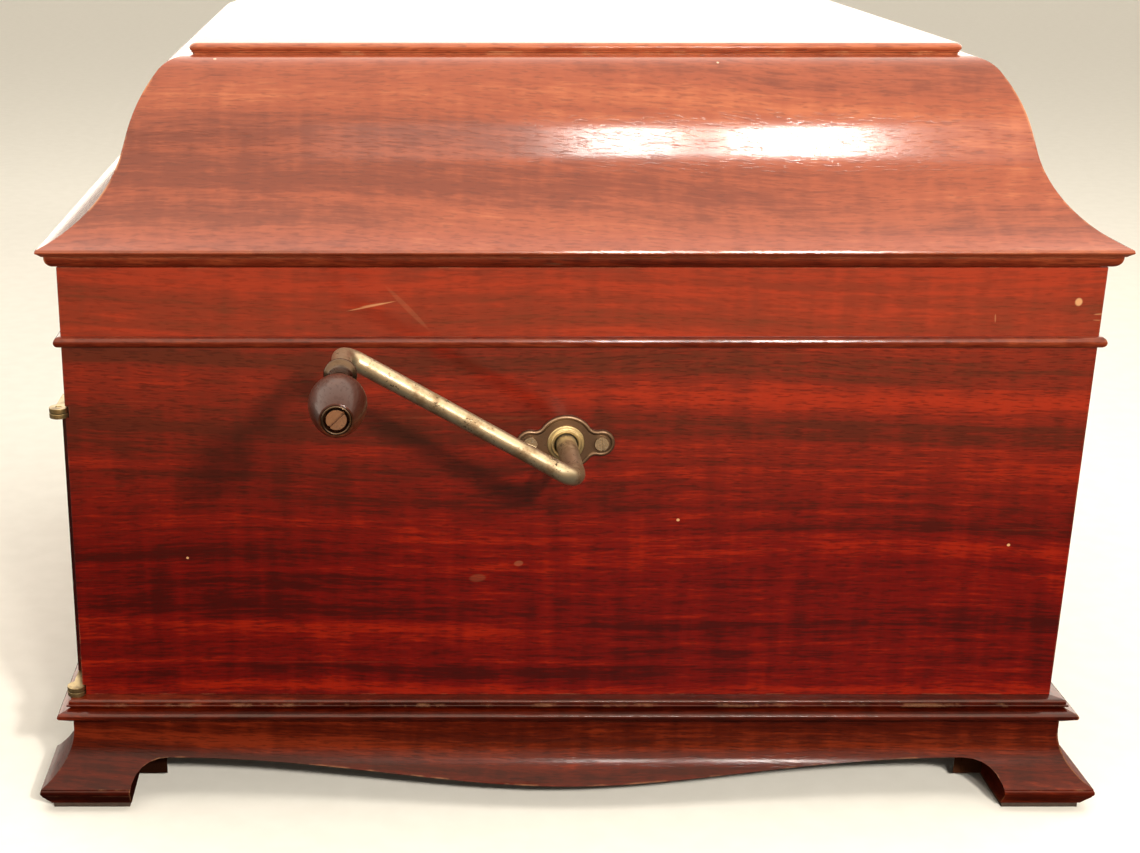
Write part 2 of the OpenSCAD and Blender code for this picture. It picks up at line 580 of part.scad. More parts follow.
module motor_frame() color("#b08d3c") at_case() {
    for (y = [front_plate_y, back_plate_y]) slab_y(y) difference() {
        translate([plate_x[0], plate_z[0]]) square([plate_x[1] - plate_x[0], plate_z[1] - plate_z[0]]);
        translate([crank_x, crank_z]) circle(4 + run_fit);
        translate([second_x, second_z]) circle(1.5 + run_fit);
        translate([third_x, third_z]) circle(1.5 + run_fit);
    }
    rod_y(click_x, click_z, [front_plate_y[1] - 1, great_y[0] - 0.8], 2);
    for (p = pillar_places) {
        rod_y(p[0], p[1], [front_plate_y[1], back_plate_y[0]], 4);
        rod_y(p[0], p[1], [front_plate_y[0] - 2, front_plate_y[0]], 3.4);
        rod_y(p[0], p[1], [back_plate_y[1], back_plate_y[1] + 2], 3.4);
    }
    // Bearings of the governor, standing off the back plate
    for (z = moved(fly_span, third_z)) difference() {
        box([worm_x - 5, worm_x + 5], [worm_y - 5, back_plate_y[0]], [z, z + 3]);
        rod_z(worm_x, worm_y, [z - 1, z + 4], 1 + run_fit);
    }
}
module spring_barrel() color("#b8943f") at_case() difference() {
    union() {
        slab_y(great_y) translate([crank_x, crank_z]) gear(great_teeth, great_m, 90);
        rod_y(crank_x, crank_z, drum_y, drum_r);
    }
    rod_y(crank_x, crank_z, [drum_y[0] + 2, drum_y[1] - 2], drum_r - 2);
    rod_y(crank_x, crank_z, [great_y[0] - 1, drum_y[1] + 1], arbor_r + run_fit);
}
spring_turns = 11;
spring_t = 0.7;
spring_r = [8, drum_r - 3.2];
function spiral(i, n, extra) =
    let (r = spring_r[0] + (spring_r[1] - spring_r[0]) * i / n + extra, a = 360 * spring_turns * i / n)
    [crank_x + r * cos(a), crank_z + r * sin(a)];
module mainspring() color("#5d6270") at_case() slab_y([drum_y[0] + 4, drum_y[1] - 4])
    polygon(concat([for (i = [0:330]) spiral(i, 330, 0)], [for (i = [330:-1:0]) spiral(i, 330, spring_t)]));

module drive_sprocket() color("#a58436") at_case() {
    rod_y(gear_x, sprocket_z, [-195, -155.5], 2);
    slab_y([-193, -188]) translate([gear_x, sprocket_z])
        gear(drive_teeth, great_m, 270 + 180 / drive_teeth);
    rod_y(gear_x, sprocket_z, [-182, -175], 5);
    slab_y([-drive_r - 1.2, -drive_r + 1.2]) translate([gear_x, sprocket_z]) {
        circle(sprocket_r - 2.4);
        for (i = [0:sprocket_teeth - 1]) rotate(90 + i * 360 / sprocket_teeth)
            polygon([[5, -1.4], [sprocket_r, -1.3], [sprocket_r + 2.4, -0.7], [sprocket_r + 3, 0],
                [sprocket_r + 2.4, 0.7], [sprocket_r, 1.3], [5, 1.4]]);
    }
}
module drive_bracket() color("#3b3b40") at_case() for (y = [[-187, -184], [-161, -158]]) slab_y(y)
    difference() {
        union() {
            translate([gear_x - 24, bed_top]) square([48, 3.5]);
            translate([gear_x - 6, bed_top]) square([12, sprocket_z - bed_top]);
            translate([gear_x, sprocket_z]) circle(6);
        }
        translate([gear_x, sprocket_z]) circle(2 + run_fit);
    }

module second_wheel() color("#b8943f") at_case() {
    rod_y(second_x, second_z, [front_plate_y[0], back_plate_y[1]], 1.5);
    rod_y(second_x, second_z, [front_plate_y[1] + 0.4, back_plate_y[0] - 0.4], 2.5);
    slab_y([-193, -188]) translate([second_x, second_z])
        gear(second_teeth, great_m, second_dir + 180 + 180 / second_teeth);
    slab_y([-128, -125.5]) translate([second_x, second_z]) difference() {
        gear(second_wheel_teeth, fine_m, third_dir);
        spokes(15.5, 5, 4, 3);
    }
}
module worm_wheel() color("#b8943f") at_case() {
    rod_y(third_x, third_z, [front_plate_y[0], back_plate_y[1]], 1.5);
    rod_y(third_x, third_z, [front_plate_y[1] + 0.4, back_plate_y[0] - 0.4], 2.3);
    slab_y([-129, -124.5]) translate([third_x, third_z])
        gear(third_teeth, fine_m, third_dir + 180 + 180 / third_teeth);
    slab_y([worm_y - 1.2, worm_y + 1.2]) translate([third_x, third_z]) gear(worm_wheel_teeth, fine_m, 0, 0.5);
}
worm_len = 10;
module governor_fly() color("#9a9a9c") at_case() {
    rod_z(worm_x, worm_y, moved(fly_span + [0, 3], third_z), 1);
    rod_z(worm_x, worm_y, moved(fly_span + [3.4, -0.6], third_z), 1.6);
    // Two-start worm: two round threads wound about the arbor, a gap facing the wheel's first tooth
    translate([worm_x, worm_y, third_z - worm_len / 2])
        linear_extrude(worm_len, twist = -360 * worm_len / worm_lead, slices = 20)
            rotate(90 - 180 * worm_len / worm_lead)
                for (s = [-1, 1]) translate([s * 1.75, 0]) circle(1.9, $fn = 13);
    box(moved([-12, 12], worm_x), moved([-0.5, 0.5], worm_y), moved([14, 40], third_z));
}

// ---------- music work ----------

module bedplate() color("#3d2f22") at_case() difference() {
    union() {
        box([-end_in + 6, end_in - 6], [-side_in + 3, stay_y - 7], [bed_z, bed_top]);
        rod_z(lever_x, lever_y, [bed_z, bed_top + 4], 2.5);
    }
    box([gear_x - 23, gear_x + 23], [-195, -187.4], [bed_z - 1, bed_top + 1]);
    box([gear_x - 20, gear_x + 20], [-175, -164], [bed_z - 1, bed_top + 1]);
    box([gear_x - 7, gear_x + 7], [-188, -157], [bed_z - 1, bed_top + 1]);
    rod_z(disc_x, 0, [bed_z - 1, bed_top + 1], 6);
    for (x = [-1, 1], y = [-1, 1]) rod_z(x * (end_in - 18), y * 160, [bed_z - 1, bed_top + 1], 3);
}
// Two combs face each other across the star wheels, each on a raised bar
comb_len = star_count * star_pitch + 12;
comb_x = star_x0 - 8;
module comb(dir) mirror([0, dir > 0 ? 1 : 0, 0]) {
    box([comb_x, comb_x + comb_len], [-66, -40], [bed_top, star_z - 1]);
    difference() {
        box([comb_x, comb_x + comb_len], [-66, -star_r - 0.8], [star_z - 1, star_z - 1 + comb_t]);
        for (i = [0:star_count]) translate([star_x0 + (i - 0.5) * star_pitch - 0.45, -38, star_z - 2])
            cube([0.9, 40, comb_t + 2]);
    }
    for (i = [0:4]) rod_z(comb_x + 12 + i * (comb_len - 24) / 4, -53, [star_z + 0.6, star_z + 3.6], 4);
}
module combs() color("#8f9399") at_case() {
    comb(-1);
    comb(1);
}
star_points = 8;
module star_wheels() color("#b8943f") at_case() {
    rod_x(0, star_z, [star_x0 - 7, star_x1 + 7], 1.3);
    for (i = [0:star_count - 1]) translate([star_x0 + i * star_pitch - 0.6, 0, star_z]) rotate([0, 90, 0])
        linear_extrude(1.2) rotate(22.5) polygon([for (k = [0:star_points - 1])
            let (a = k * 360 / star_points, b = a + 22.5)
            each [[star_r * cos(a), star_r * sin(a)], [3 * cos(b), 3 * sin(b)]]]);
}
module star_gantry() color("#6e5a2a") at_case() for (x = [star_x0 - 5, star_x1 + 3]) difference() {
    union() {
        box([x, x + 2], [-5, 5], [bed_top, star_z]);
        rod_x(0, star_z, [x, x + 2], 3);
        box([x - 2, x + 4], [-5, 5], [bed_top, bed_top + 1.4]);
    }
    rod_x(0, star_z, [x - 3, x + 5], 1.3 + run_fit);
}
module disc_spindle() color("#a9a9ac") at_case() {
    rod_z(disc_x, 0, [bed_top, bed_top + 3], 22);
    rod_z(disc_x, 0, [bed_top, disc_z - disc_t / 2 - 0.1], 14);
    rod_z(disc_x, 0, [disc_z - 1, bar_z + 1], 4);
    rod_z(disc_x, 0, [bed_z + 0.5, bed_top + 1], 6 - run_fit);
}
module tune_disc() color("#b9bcc0") at_case() difference() {
    union() {
        rod_z(disc_x, 0, [disc_z - disc_t / 2, disc_z + disc_t / 2], disc_r);
        // Short projections under the disc, one row to each turn of a star wheel
        for (i = [0:59]) let (r = star_x0 - disc_x + star_pitch * ((i * 13) % star_count))
            translate([disc_x, 0, 0]) rotate([0, 0, i * 6 + 5])
                box([r, r + 1.6], [-0.8, 0.8], [disc_z - disc_t / 2 - 0.9, disc_z]);
    }
    rod_z(disc_x, 0, [disc_z - 2, disc_z + 2], 4 + run_fit);
    for (i = [0:drive_holes - 1]) translate([disc_x, 0, 0]) rotate([0, 0, 270 + i * 360 / drive_holes])
        box([drive_r - 2.1, drive_r + 2.1], [-2.6, 2.6], [disc_z - 2, disc_z + 2]);
}
// The bar holds the disc down: a hub over the spindle, and hangers for the rollers' arbor
module pressure_bar() color("#8f9399") at_case() difference() {
    union() {
        box([disc_x, bar_axis_x], [-7, 7], [bar_z - 2, bar_z + 4]);
        rod_y(bar_axis_x, bar_z, [-7, 7], 6);
        rod_z(disc_x, 0, [disc_z + disc_t / 2 + 0.5, bar_z + 4], 10);
        for (x = hanger_x) box([x, x + 2], [-2.6, 2.6], [roller_z - 2.4, bar_z - 1]);
    }
    rod_y(bar_axis_x, bar_z, [-8, 8], 2.5 + run_fit);
    box([disc_x - 7, disc_x + 7], [-4.4, 4.4], [disc_z - 1, bar_z + 1.6]);
    rod_x(0, roller_z, [hanger_x[0] - 1, hanger_x[1] + 3], 1.2 + run_fit);
}
module pressure_rollers() color("#c9b27a") at_case() {
    rod_x(0, roller_z, [hanger_x[0] - 1, hanger_x[1] + 3], 1.2);
    for (x = [hanger_x[0] + 8, (hanger_x[0] + hanger_x[1]) / 2 - 4, hanger_x[1] - 16])
        rod_x(0, roller_z, [x, x + 10], roller_r);
}
module bar_bracket() color("#3b3b40") at_case() {
    box([bar_axis_x - 10, bar_axis_x + 10], [-16, 16], [bed_top, bed_top + 3]);
    for (s = [-1, 1]) slab_y(s < 0 ? [-12, -7.4] : [7.4, 12]) {
        translate([bar_axis_x - 8, bed_top]) square([16, bar_z - bed_top]);
        translate([bar_axis_x, bar_z]) circle(8);
    }
    rod_y(bar_axis_x, bar_z, [-12, 12], 2.5);
}
lever_turn = 210;
module start_lever() color("#b08d3c") at_case() translate([lever_x, lever_y, bed_top + 0.3]) difference() {
    union() {
        cylinder(h = 3, r = 7);
        rotate(lever_turn) translate([0, -3, 0]) cube([46, 6, 3]);
        rotate(lever_turn) translate([44, 0, 0]) cylinder(h = 10, r = 4.5);
        rotate(lever_turn + 150) translate([0, -3.5, 0]) cube([16, 7, 3]);
    }
    translate([0, 0, -1]) cylinder(h = 5, r = 2.5 + run_fit);
}

crank_side_panel();
far_side_panel();
back_panel();
frieze_rail();
bead_moulding();
base_moulding();
bottom_board();
crank_side_base();
back_base();
far_side_base();
front_base();
corner_blocks();
foot_pads();
grille();
grille_cloth();
bedplate_rails();
lid_crank_side();
lid_back();
lid_far_side();
lid_front();
lid_rim();
lid_cap();
lid_hinge_leaves();
case_hinge_leaves();
lid_stay();
stay_keeper();
door_left();
door_right();
door_knob_left();
door_knob_right();
door_pivots_left();
door_pivots_right();
case_pivots();
escutcheon();
escutcheon_screws();
crank_bush();
crank_arm();
crank_knob();
knob_ferrule();
knob_screw();
winding_arbor();
click();
motor_frame();
spring_barrel();
mainspring();
drive_sprocket();
drive_bracket();
second_wheel();
worm_wheel();
governor_fly();
bedplate();
combs();
star_wheels();
star_gantry();
disc_spindle();
tune_disc();
bar_bracket();
pressure_bar();
pressure_rollers();
start_lever();
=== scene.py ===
# Looks of a table-top disc music box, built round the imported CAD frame.
# Metres, in the row frame: X runs along the crank side, from the doors to the lid hinges, and the crank
# stands out of -Y. Outlines are lists of (outwards, upwards) places in millimetres, except where a
# comment says otherwise.
import math
import random

import bmesh
import bpy
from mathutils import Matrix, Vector
from mathutils.geometry import tessellate_polygon


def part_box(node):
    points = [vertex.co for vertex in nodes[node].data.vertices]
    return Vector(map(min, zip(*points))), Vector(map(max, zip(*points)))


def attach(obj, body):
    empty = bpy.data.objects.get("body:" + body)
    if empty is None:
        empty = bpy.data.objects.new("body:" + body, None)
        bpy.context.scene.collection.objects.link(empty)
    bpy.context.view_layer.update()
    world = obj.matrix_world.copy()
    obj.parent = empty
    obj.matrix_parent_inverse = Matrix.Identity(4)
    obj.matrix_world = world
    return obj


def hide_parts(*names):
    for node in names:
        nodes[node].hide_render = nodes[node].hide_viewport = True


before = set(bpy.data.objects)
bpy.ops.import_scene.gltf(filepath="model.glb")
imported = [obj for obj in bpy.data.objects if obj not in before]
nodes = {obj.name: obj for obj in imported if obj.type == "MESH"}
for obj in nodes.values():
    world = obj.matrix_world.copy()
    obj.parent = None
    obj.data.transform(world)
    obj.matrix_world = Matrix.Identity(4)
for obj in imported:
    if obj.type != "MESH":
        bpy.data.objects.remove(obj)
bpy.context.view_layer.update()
MM = 0.001

# ---------- sizes taken from the frame ----------

panel_low, panel_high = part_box("crank_side_panel")
far_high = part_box("far_side_panel")[1]
HALF_LEN = panel_high.x                              # half the body's length
MID_Y = (panel_low.y + far_high.y) / 2               # middle of the case
HALF_DEP = MID_Y - panel_low.y                       # half the body's depth
FACE_Y = panel_low.y                                 # crank side face
BEAD_Z = sum(corner.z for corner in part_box("bead_moulding")) / 2

SIDES = ("crank_side", "back", "far_side", "front")  # sides 0 to 3 of the case
GRAINS = ("x", "y", "x", "y")                        # which way the boards on them run


# ---------- shader helpers ----------

class Shader:
    """The nodes of a material or a world. Each call adds a node and returns the output that the next call
    takes."""

    def __init__(self, owner):
        self.owner = owner
        owner.use_nodes = True
        self.tree = owner.node_tree
        self.tree.nodes.clear()

    def add(self, kind, output=0, inputs=None, **settings):
        node = self.tree.nodes.new("ShaderNode" + kind)
        for key, value in settings.items():
            setattr(node, key, value)
        for key, value in (inputs or {}).items():
            if isinstance(value, bpy.types.NodeSocket):
                self.tree.links.new(value, node.inputs[key])
            else:
                node.inputs[key].default_value = value
        return node.outputs[output]

    def math(self, operation, a, b=0.0):
        return self.add("Math", 0, {0: a, 1: b}, operation=operation)

    def times(self, a, b):
        return self.math("MULTIPLY", a, b)

    def plus(self, a, b):
        return self.math("ADD", a, b)

    def mix(self, factor, a, b):
        """Colour a where the factor is 0, and b where it is 1."""
        return self.add("Mix", 2, {0: factor, 6: a, 7: b}, data_type="RGBA")

    def fade(self, value, low, high, start=0.0, end=1.0):
        """start where value is under low, end where it is over high, and a smooth step between."""
        return self.add("MapRange", 0, {0: value, 1: low, 2: high, 3: start, 4: end},
                        interpolation_type="SMOOTHSTEP")

    def split(self, vector):
        self.add("SeparateXYZ", 0, {0: vector})
        node = self.tree.nodes[-1]
        return node.outputs[0], node.outputs[1], node.outputs[2]

    def join(self, x, y, z):
        return self.add("CombineXYZ", 0, {0: x, 1: y, 2: z})

    def scaled(self, vector, scale, shift=(0, 0, 0), turn=(0, 0, 0)):
        return self.add("Mapping", 0, {
            "Vector": vector, "Scale": scale, "Location": shift, "Rotation": turn})

    def noise(self, vector, scale=1.0, detail=2.0, rough=0.5):
        return self.add("TexNoise", 0, {
            "Vector": vector, "Scale": scale, "Detail": detail, "Roughness": rough})

    def cells(self, vector, scale, output="Distance"):
        return self.add("TexVoronoi", output, {"Vector": vector, "Scale": scale})

    def bump(self, height, distance, strength=1.0):
        return self.add("Bump", 0, {"Height": height, "Distance": distance, "Strength": strength})

    def finish(self, inputs):
        surface = self.add("BsdfPrincipled", 0, inputs)
        out = self.tree.nodes.new("ShaderNodeOutputMaterial")
        self.tree.links.new(surface, out.inputs["Surface"])
        return self.owner


def rgb(r, g, b):
    return (r, g, b, 1.0)


def shaded(colour, share):
    """A colour made darker or lighter."""
    return rgb(*(share * c for c in colour))


# ---------- wood ----------

def grain_space(s, along, seed):
    """Texture space of a board: the first number runs along the grain, the other two across it."""
    x, y, z = s.split(s.add("TexCoord", "Object"))
    if along == "y":
        x, y = y, x
    elif along == "z":
        x, z = z, x
    return s.join(s.plus(x, 3.7 * seed), y, s.plus(z, 1.3 * seed))


def dust(s, space, scale, share, size):
    """1 on small round specks, one in each of that share of the cells."""
    near = s.cells(space, scale)
    pick = s.split(s.cells(space, scale, "Color"))[0]
    return s.times(s.math("LESS_THAN", near, size), s.math("LESS_THAN", pick, share))


# Scratches, chips and filled holes on the crank side, in millimetres and degrees:
# along the side, height, length, width, slope, strength
MARKS = ((-100, 264, 27, 1.0, 12, 0.50), (-99.5, 264.5, 14, 1.0, 10, 0.40), (-83, 263, 34, 3.0, -46, 0.07),
         (52.5, 154, 2.0, 1.8, 0, 0.95), (219, 140.5, 2.0, 1.8, 0, 0.95), (-193, 133.5, 1.7, 1.5, 0, 0.90),
         (238, 266, 4.2, 4.6, 0, 0.85), (199, 258, 5.0, 0.8, 95, 0.25), (249, 260, 7.0, 0.9, 4, 0.35),
         (248, 257, 5.0, 0.7, -3, 0.25), (-47, 122.5, 10, 5.0, 5, 0.06), (-26.5, 130.5, 5.5, 3.5, 10, 0.12))
MARK_COLOUR = (0.60, 0.30, 0.13)
SPECK_COLOUR = (0.66, 0.47, 0.31)
HAIR_COLOUR = (0.34, 0.06, 0.02)
RUBBED_COLOUR = (0.56, 0.26, 0.12)
# Colour of the board above the bead, also used for a painted haze of reflected light near the top of the
# case
FRIEZE_TONE_AND_PAINTED_HAZE = (0.46, 0.088, 0.036)


def scuff(s, colour, marks):
    """Lays pale marks over a colour, each a soft-edged ellipse in the plane of the case's side."""
    place = s.add("TexCoord", "Object")
    for x, z, long, wide, slope, strength in marks:
        moved = s.add("VectorMath", 0, {0: place, 1: (x * MM, 0.0, z * MM)}, operation="SUBTRACT")
        turned = s.add("Mapping", 0, {"Vector": moved, "Rotation": (0.0, math.radians(slope), 0.0)})
        shares = (2 / MM / long, 0.0, 2 / MM / wide)
        spread = s.add("VectorMath", 0, {0: turned, 1: shares}, operation="MULTIPLY")
        away = s.add("VectorMath", "Value", {0: spread}, operation="LENGTH")
        colour = s.mix(s.fade(away, 0.60, 1.00, strength, 0.0), colour, rgb(*MARK_COLOUR))
    return colour


def wood(name, along, colours, seed, stripe=40.0, contrast=1.0, rough=0.40, coat=1.0, coat_rough=0.17,
         wear=0.0, specks=0.02, gloss=0.12, flecks=1.0, coat_ior=1.40, frieze=False, marks=()):
    """Polished mahogany under a coat of varnish: ribbon stripes, finer streaks, cross mottle, fibres and
    dark pores. wear is how pale the rubbed edges are, specks the share of cells with a chip, and flecks how
    strong the fibres and pores are. frieze makes the board above the bead a lighter one, and paints a
    haze of reflected light that grows towards the top of the case."""
    dark, middle, bright = (rgb(*c) for c in colours)
    s = Shader(bpy.data.materials.new(name))
    space = grain_space(s, along, seed)
    height = s.split(s.add("TexCoord", "Object"))[2]
    if frieze:
        # The board over the bead is cut from another place
        above = s.math("GREATER_THAN", height, BEAD_Z)
        moved = s.join(s.times(above, 5.3), 0.0, 0.0)
        space = s.add("VectorMath", 0, {0: space, 1: moved}, operation="ADD")
    wander = s.noise(s.scaled(space, (2.2, 2.2, 5.0)), detail=2.0)
    x, y, z = s.split(space)
    lean = s.plus(s.times(x, 0.018), s.times(s.math("SUBTRACT", wander, 0.5), 0.040))
    bent = s.join(x, y, s.plus(z, lean))
    stripes = s.noise(s.scaled(bent, (1.3, 6.0, 1.25 * stripe)), detail=1.8, rough=0.42)
    streaks = s.noise(s.scaled(bent, (5.0, 30.0, 4.6 * stripe)), detail=3.0, rough=0.55)
    mottle = s.noise(s.scaled(bent, (105.0, 60.0, 15.0)), detail=2.5, rough=0.5)
    fibres = s.noise(s.scaled(bent, (55.0, 260.0, 760.0)), detail=3.0, rough=0.62)
    pores = s.noise(s.scaled(bent, (150.0, 700.0, 1250.0)), detail=1.5, rough=0.5)
    tone = s.plus(s.times(s.math("SUBTRACT", stripes, 0.5), 2.3 * contrast), 0.5)
    tone = s.plus(tone, s.times(s.math("SUBTRACT", streaks, 0.5), 1.05 * contrast))
    tone = s.plus(tone, s.times(s.math("SUBTRACT", mottle, 0.5), 0.62 * contrast))
    tone = s.plus(tone, s.times(s.math("SUBTRACT", fibres, 0.5), 1.10 * flecks))
    if frieze:
        tone = s.plus(tone, s.times(above, 0.14))
    colour = s.mix(s.fade(tone, 0.10, 0.55), dark, middle)
    colour = s.mix(s.fade(tone, 0.50, 1.00), colour, bright)
    # Above the bead, the lighter board's own tone; and from 0.12 m up, a painted haze of reflected light
    # that grows towards the top of the case
    if frieze:
        frieze_and_haze_share = s.plus(s.times(above, 0.12), s.fade(height, 0.12, 0.25, 0.0, 0.10))
        colour = s.mix(frieze_and_haze_share, colour, rgb(*FRIEZE_TONE_AND_PAINTED_HAZE))
    pore = s.fade(pores, 0.54, 0.66)
    depth = s.times(pore, 0.42 * flecks)
    if frieze:
        depth = s.times(depth, s.fade(above, 0.0, 1.0, 1.0, 0.45))
    colour = s.mix(depth, colour, shaded(colours[0], 0.45))
    speck = dust(s, space, 90.0, specks, 0.07)
    colour = s.mix(s.times(speck, 0.85), colour, rgb(*SPECK_COLOUR))
    # Hair scratches, in patches
    lines = s.noise(s.scaled(space, (4.0, 4.0, 620.0), turn=(0.0, 0.10, 0.0)), detail=1.5)
    hair = s.times(s.fade(lines, 0.685, 0.72), s.fade(s.noise(space, 11.0), 0.56, 0.64))
    colour = s.mix(s.times(hair, 0.12), colour, rgb(*HAIR_COLOUR))
    colour = scuff(s, colour, marks)
    if wear:
        rounded = s.add("Bevel", 0, {"Radius": 1.3 * MM}, samples=6)
        flat = s.add("NewGeometry", "Normal")
        level = s.add("VectorMath", "Value", {0: rounded, 1: flat}, operation="DOT_PRODUCT")
        edge = s.math("SUBTRACT", 1.0, level)
        rubbed = s.times(s.fade(edge, 0.015, 0.12), s.fade(s.noise(space, 46.0, 5.0, 0.7), 0.50, 0.60))
        colour = s.mix(s.times(rubbed, wear), colour, rgb(*RUBBED_COLOUR))
    smear = s.noise(s.scaled(space, (6.0, 9.0, 14.0)), detail=5.0, rough=0.62)
    roughness = s.plus(s.times(smear, 0.24), s.plus(rough - 0.12, s.times(pore, 0.12)))
    ripple = s.noise(s.scaled(space, (26.0, 60.0, 80.0)), detail=2.0)
    relief = s.plus(s.times(ripple, 0.40), s.plus(s.times(fibres, 0.22), s.times(pore, -0.22)))
    normal = s.bump(relief, 0.22 * MM, 0.30)
    return s.finish({
        "Base Color": colour, "Roughness": roughness, "Normal": normal, "Coat Normal": normal,
        "Specular IOR Level": gloss, "Specular Tint": rgb(1.0, 0.20, 0.08),
        "Coat Weight": coat, "Coat Roughness": coat_rough, "Coat IOR": coat_ior})


# Dark, middle and bright tones of each wood
CASE_RED = ((0.040, 0.0002, 0.0000), (0.112, 0.0006, 0.0000), (0.24, 0.0070, 0.0002))
LID_RED = ((0.140, 0.022, 0.0080), (0.250, 0.048, 0.0175), (0.38, 0.098, 0.037))
MOULD_RED = ((0.050, 0.0040, 0.0010), (0.120, 0.0130, 0.0036), (0.22, 0.036, 0.011))
BASE_RED = ((0.020, 0.0014, 0.0003), (0.055, 0.0042, 0.0009), (0.14, 0.014, 0.0030))
INNER = ((0.20, 0.075, 0.030), (0.33, 0.150, 0.065), (0.44, 0.225, 0.105))
INNER_RED = ((0.10, 0.018, 0.006), (0.18, 0.036, 0.012), (0.28, 0.070, 0.024))
# Nearly black: painted shade, so that the corner blocks beside the feet read as the shadow behind them
BLOCKS_PAINTED_SHADE = ((0.012, 0.004, 0.002), (0.024, 0.008, 0.003), (0.04, 0.014, 0.006))
KNOB_BROWN = ((0.012, 0.004, 0.002), (0.032, 0.011, 0.005), (0.10, 0.024, 0.009))


# ---------- metal, cloth and other finishes ----------

PIT_COLOUR = (0.05, 0.035, 0.02)
RUB_COLOUR = (0.20, 0.13, 0.07)


def metal(name, bright, dull, seed, rough=0.28, stain=0.35, pits=0.5, bare=1.0):
    """Worn plated or bare metal: duller patches, fine dark pits and an uneven surface."""
    s = Shader(bpy.data.materials.new(name))
    place = s.scaled(s.add("TexCoord", "Object"), (1, 1, 1), (seed, 0.4 * seed, 0.0))
    patch = s.fade(s.noise(place, 65.0, 5.0, 0.65), 0.60 - 0.25 * stain, 0.78 - 0.25 * stain)
    fine = s.noise(place, 900.0, 3.0, 0.6)
    colour = s.mix(patch, rgb(*bright), rgb(*dull))
    pit = s.fade(s.plus(s.times(fine, 0.65), s.times(s.noise(place, 150.0, 3.0), 0.35)), 0.575, 0.65)
    colour = s.mix(s.times(pit, pits), colour, rgb(*PIT_COLOUR))
    roughness = s.plus(s.plus(rough, s.times(patch, 0.16)), s.times(pit, 0.22))
    uneven = s.plus(s.times(pit, -0.6), s.times(s.noise(place, 260.0), 0.5))
    relief = s.plus(s.times(fine, 0.4), uneven)
    return s.finish({
        "Base Color": colour, "Metallic": bare, "Roughness": roughness,
        "Normal": s.bump(relief, 0.12 * MM, 0.35)})


def cloth(name, thread, shade, pitch):
    """Plain weave: two sets of round threads, each over and under the other."""
    s = Shader(bpy.data.materials.new(name))
    _, y, z = s.split(s.add("TexCoord", "Object"))
    turn = math.pi / pitch
    warp, weft = (s.math("SINE", s.times(v, turn)) for v in (y, z))
    over = s.times(warp, weft)
    strand = s.plus(0.5, s.times(over, 0.5))
    slub = s.noise(s.add("TexCoord", "Object"), 240.0, 4.0)
    # Painted shade: the threads are darker where they dip under the others
    colour = s.mix(strand, rgb(*shade), rgb(*thread))
    colour = s.mix(s.fade(slub, 0.45, 0.75, 0.0, 0.5), colour, shaded(thread, 1.3))
    return s.finish({
        "Base Color": colour, "Roughness": 0.85, "Sheen Weight": 0.25, "Sheen Roughness": 0.5,
        "Normal": s.bump(s.plus(strand, s.times(slub, 0.4)), 0.3 * MM, 0.7)})


def paint(name, colour, seed, rough=0.35):
    """Japanned iron: gloss lacquer over a cast surface, with a few rubbed places."""
    s = Shader(bpy.data.materials.new(name))
    place = s.scaled(s.add("TexCoord", "Object"), (1, 1, 1), (seed, seed, 0))
    cast = s.noise(place, 420.0, 4.0, 0.6)
    rub = s.fade(s.noise(place, 42.0, 6.0, 0.7), 0.66, 0.72)
    mottled = s.mix(s.fade(cast, 0.35, 0.7), shaded(colour, 0.75), shaded(colour, 1.2))
    return s.finish({
        "Base Color": s.mix(s.times(rub, 0.6), mottled, rgb(*RUB_COLOUR)),
        "Roughness": s.plus(rough, s.times(cast, 0.2)), "Coat Weight": 0.4, "Coat Roughness": 0.25,
        "Normal": s.bump(cast, 0.3 * MM, 0.5)})


# ---------- building pieces ----------

def piece(name, build, material, body, stands_for, sharp=38):
    """Makes a mesh into a shown piece that rides on a CAD body and stands for CAD nodes. Faces that meet at
    more than sharp degrees keep a crisp edge."""
    bmesh.ops.recalc_face_normals(build, faces=build.faces)
    mesh = bpy.data.meshes.new(name)
    build.to_mesh(mesh)
    build.free()
    mesh.shade_smooth()
    mesh.set_sharp_from_angle(angle=math.radians(sharp))
    mesh.materials.append(material)
    made = bpy.data.objects.new(name, mesh)
    bpy.context.scene.collection.objects.link(made)
    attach(made, body)
    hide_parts(*stands_for.split())
    return made


def skin(build, rings, closed=False):
    """Quads from each ring of points to the next. Unless the rings close up, both ends are filled."""
    loops = [[build.verts.new(point) for point in ring] for ring in rings]
    pairs = list(zip(loops, loops[1:]))
    if closed:
        pairs.append((loops[-1], loops[0]))
    for low, high in pairs:
        for i in range(len(low)):
            j = (i + 1) % len(low)
            build.faces.new((low[i], low[j], high[j], high[i]))
    if not closed:
        build.faces.new(loops[0])
        build.faces.new(loops[-1])


def arc(centre, radius, start, end, steps):
    """Points round a centre from one angle to another, in degrees anticlockwise."""
    turns = [math.radians(start + (end - start) * i / steps) for i in range(steps + 1)]
    return [(centre[0] + radius * math.cos(a), centre[1] + radius * math.sin(a)) for a in turns]


def carry_on(line, radius, start, end, steps):
    """Adds an arc to the end of an outline. Headings are degrees below the horizontal, and an arc whose
    heading shrinks is hollow."""
    x, z = line[-1]
    side = 1 if end > start else -1
    first = math.radians(start)
    for i in range(1, steps + 1):
        now = math.radians(start + (end - start) * i / steps)
        line.append((x + side * radius * (math.sin(now) - math.sin(first)),
                     z + side * radius * (math.cos(now) - math.cos(first))))


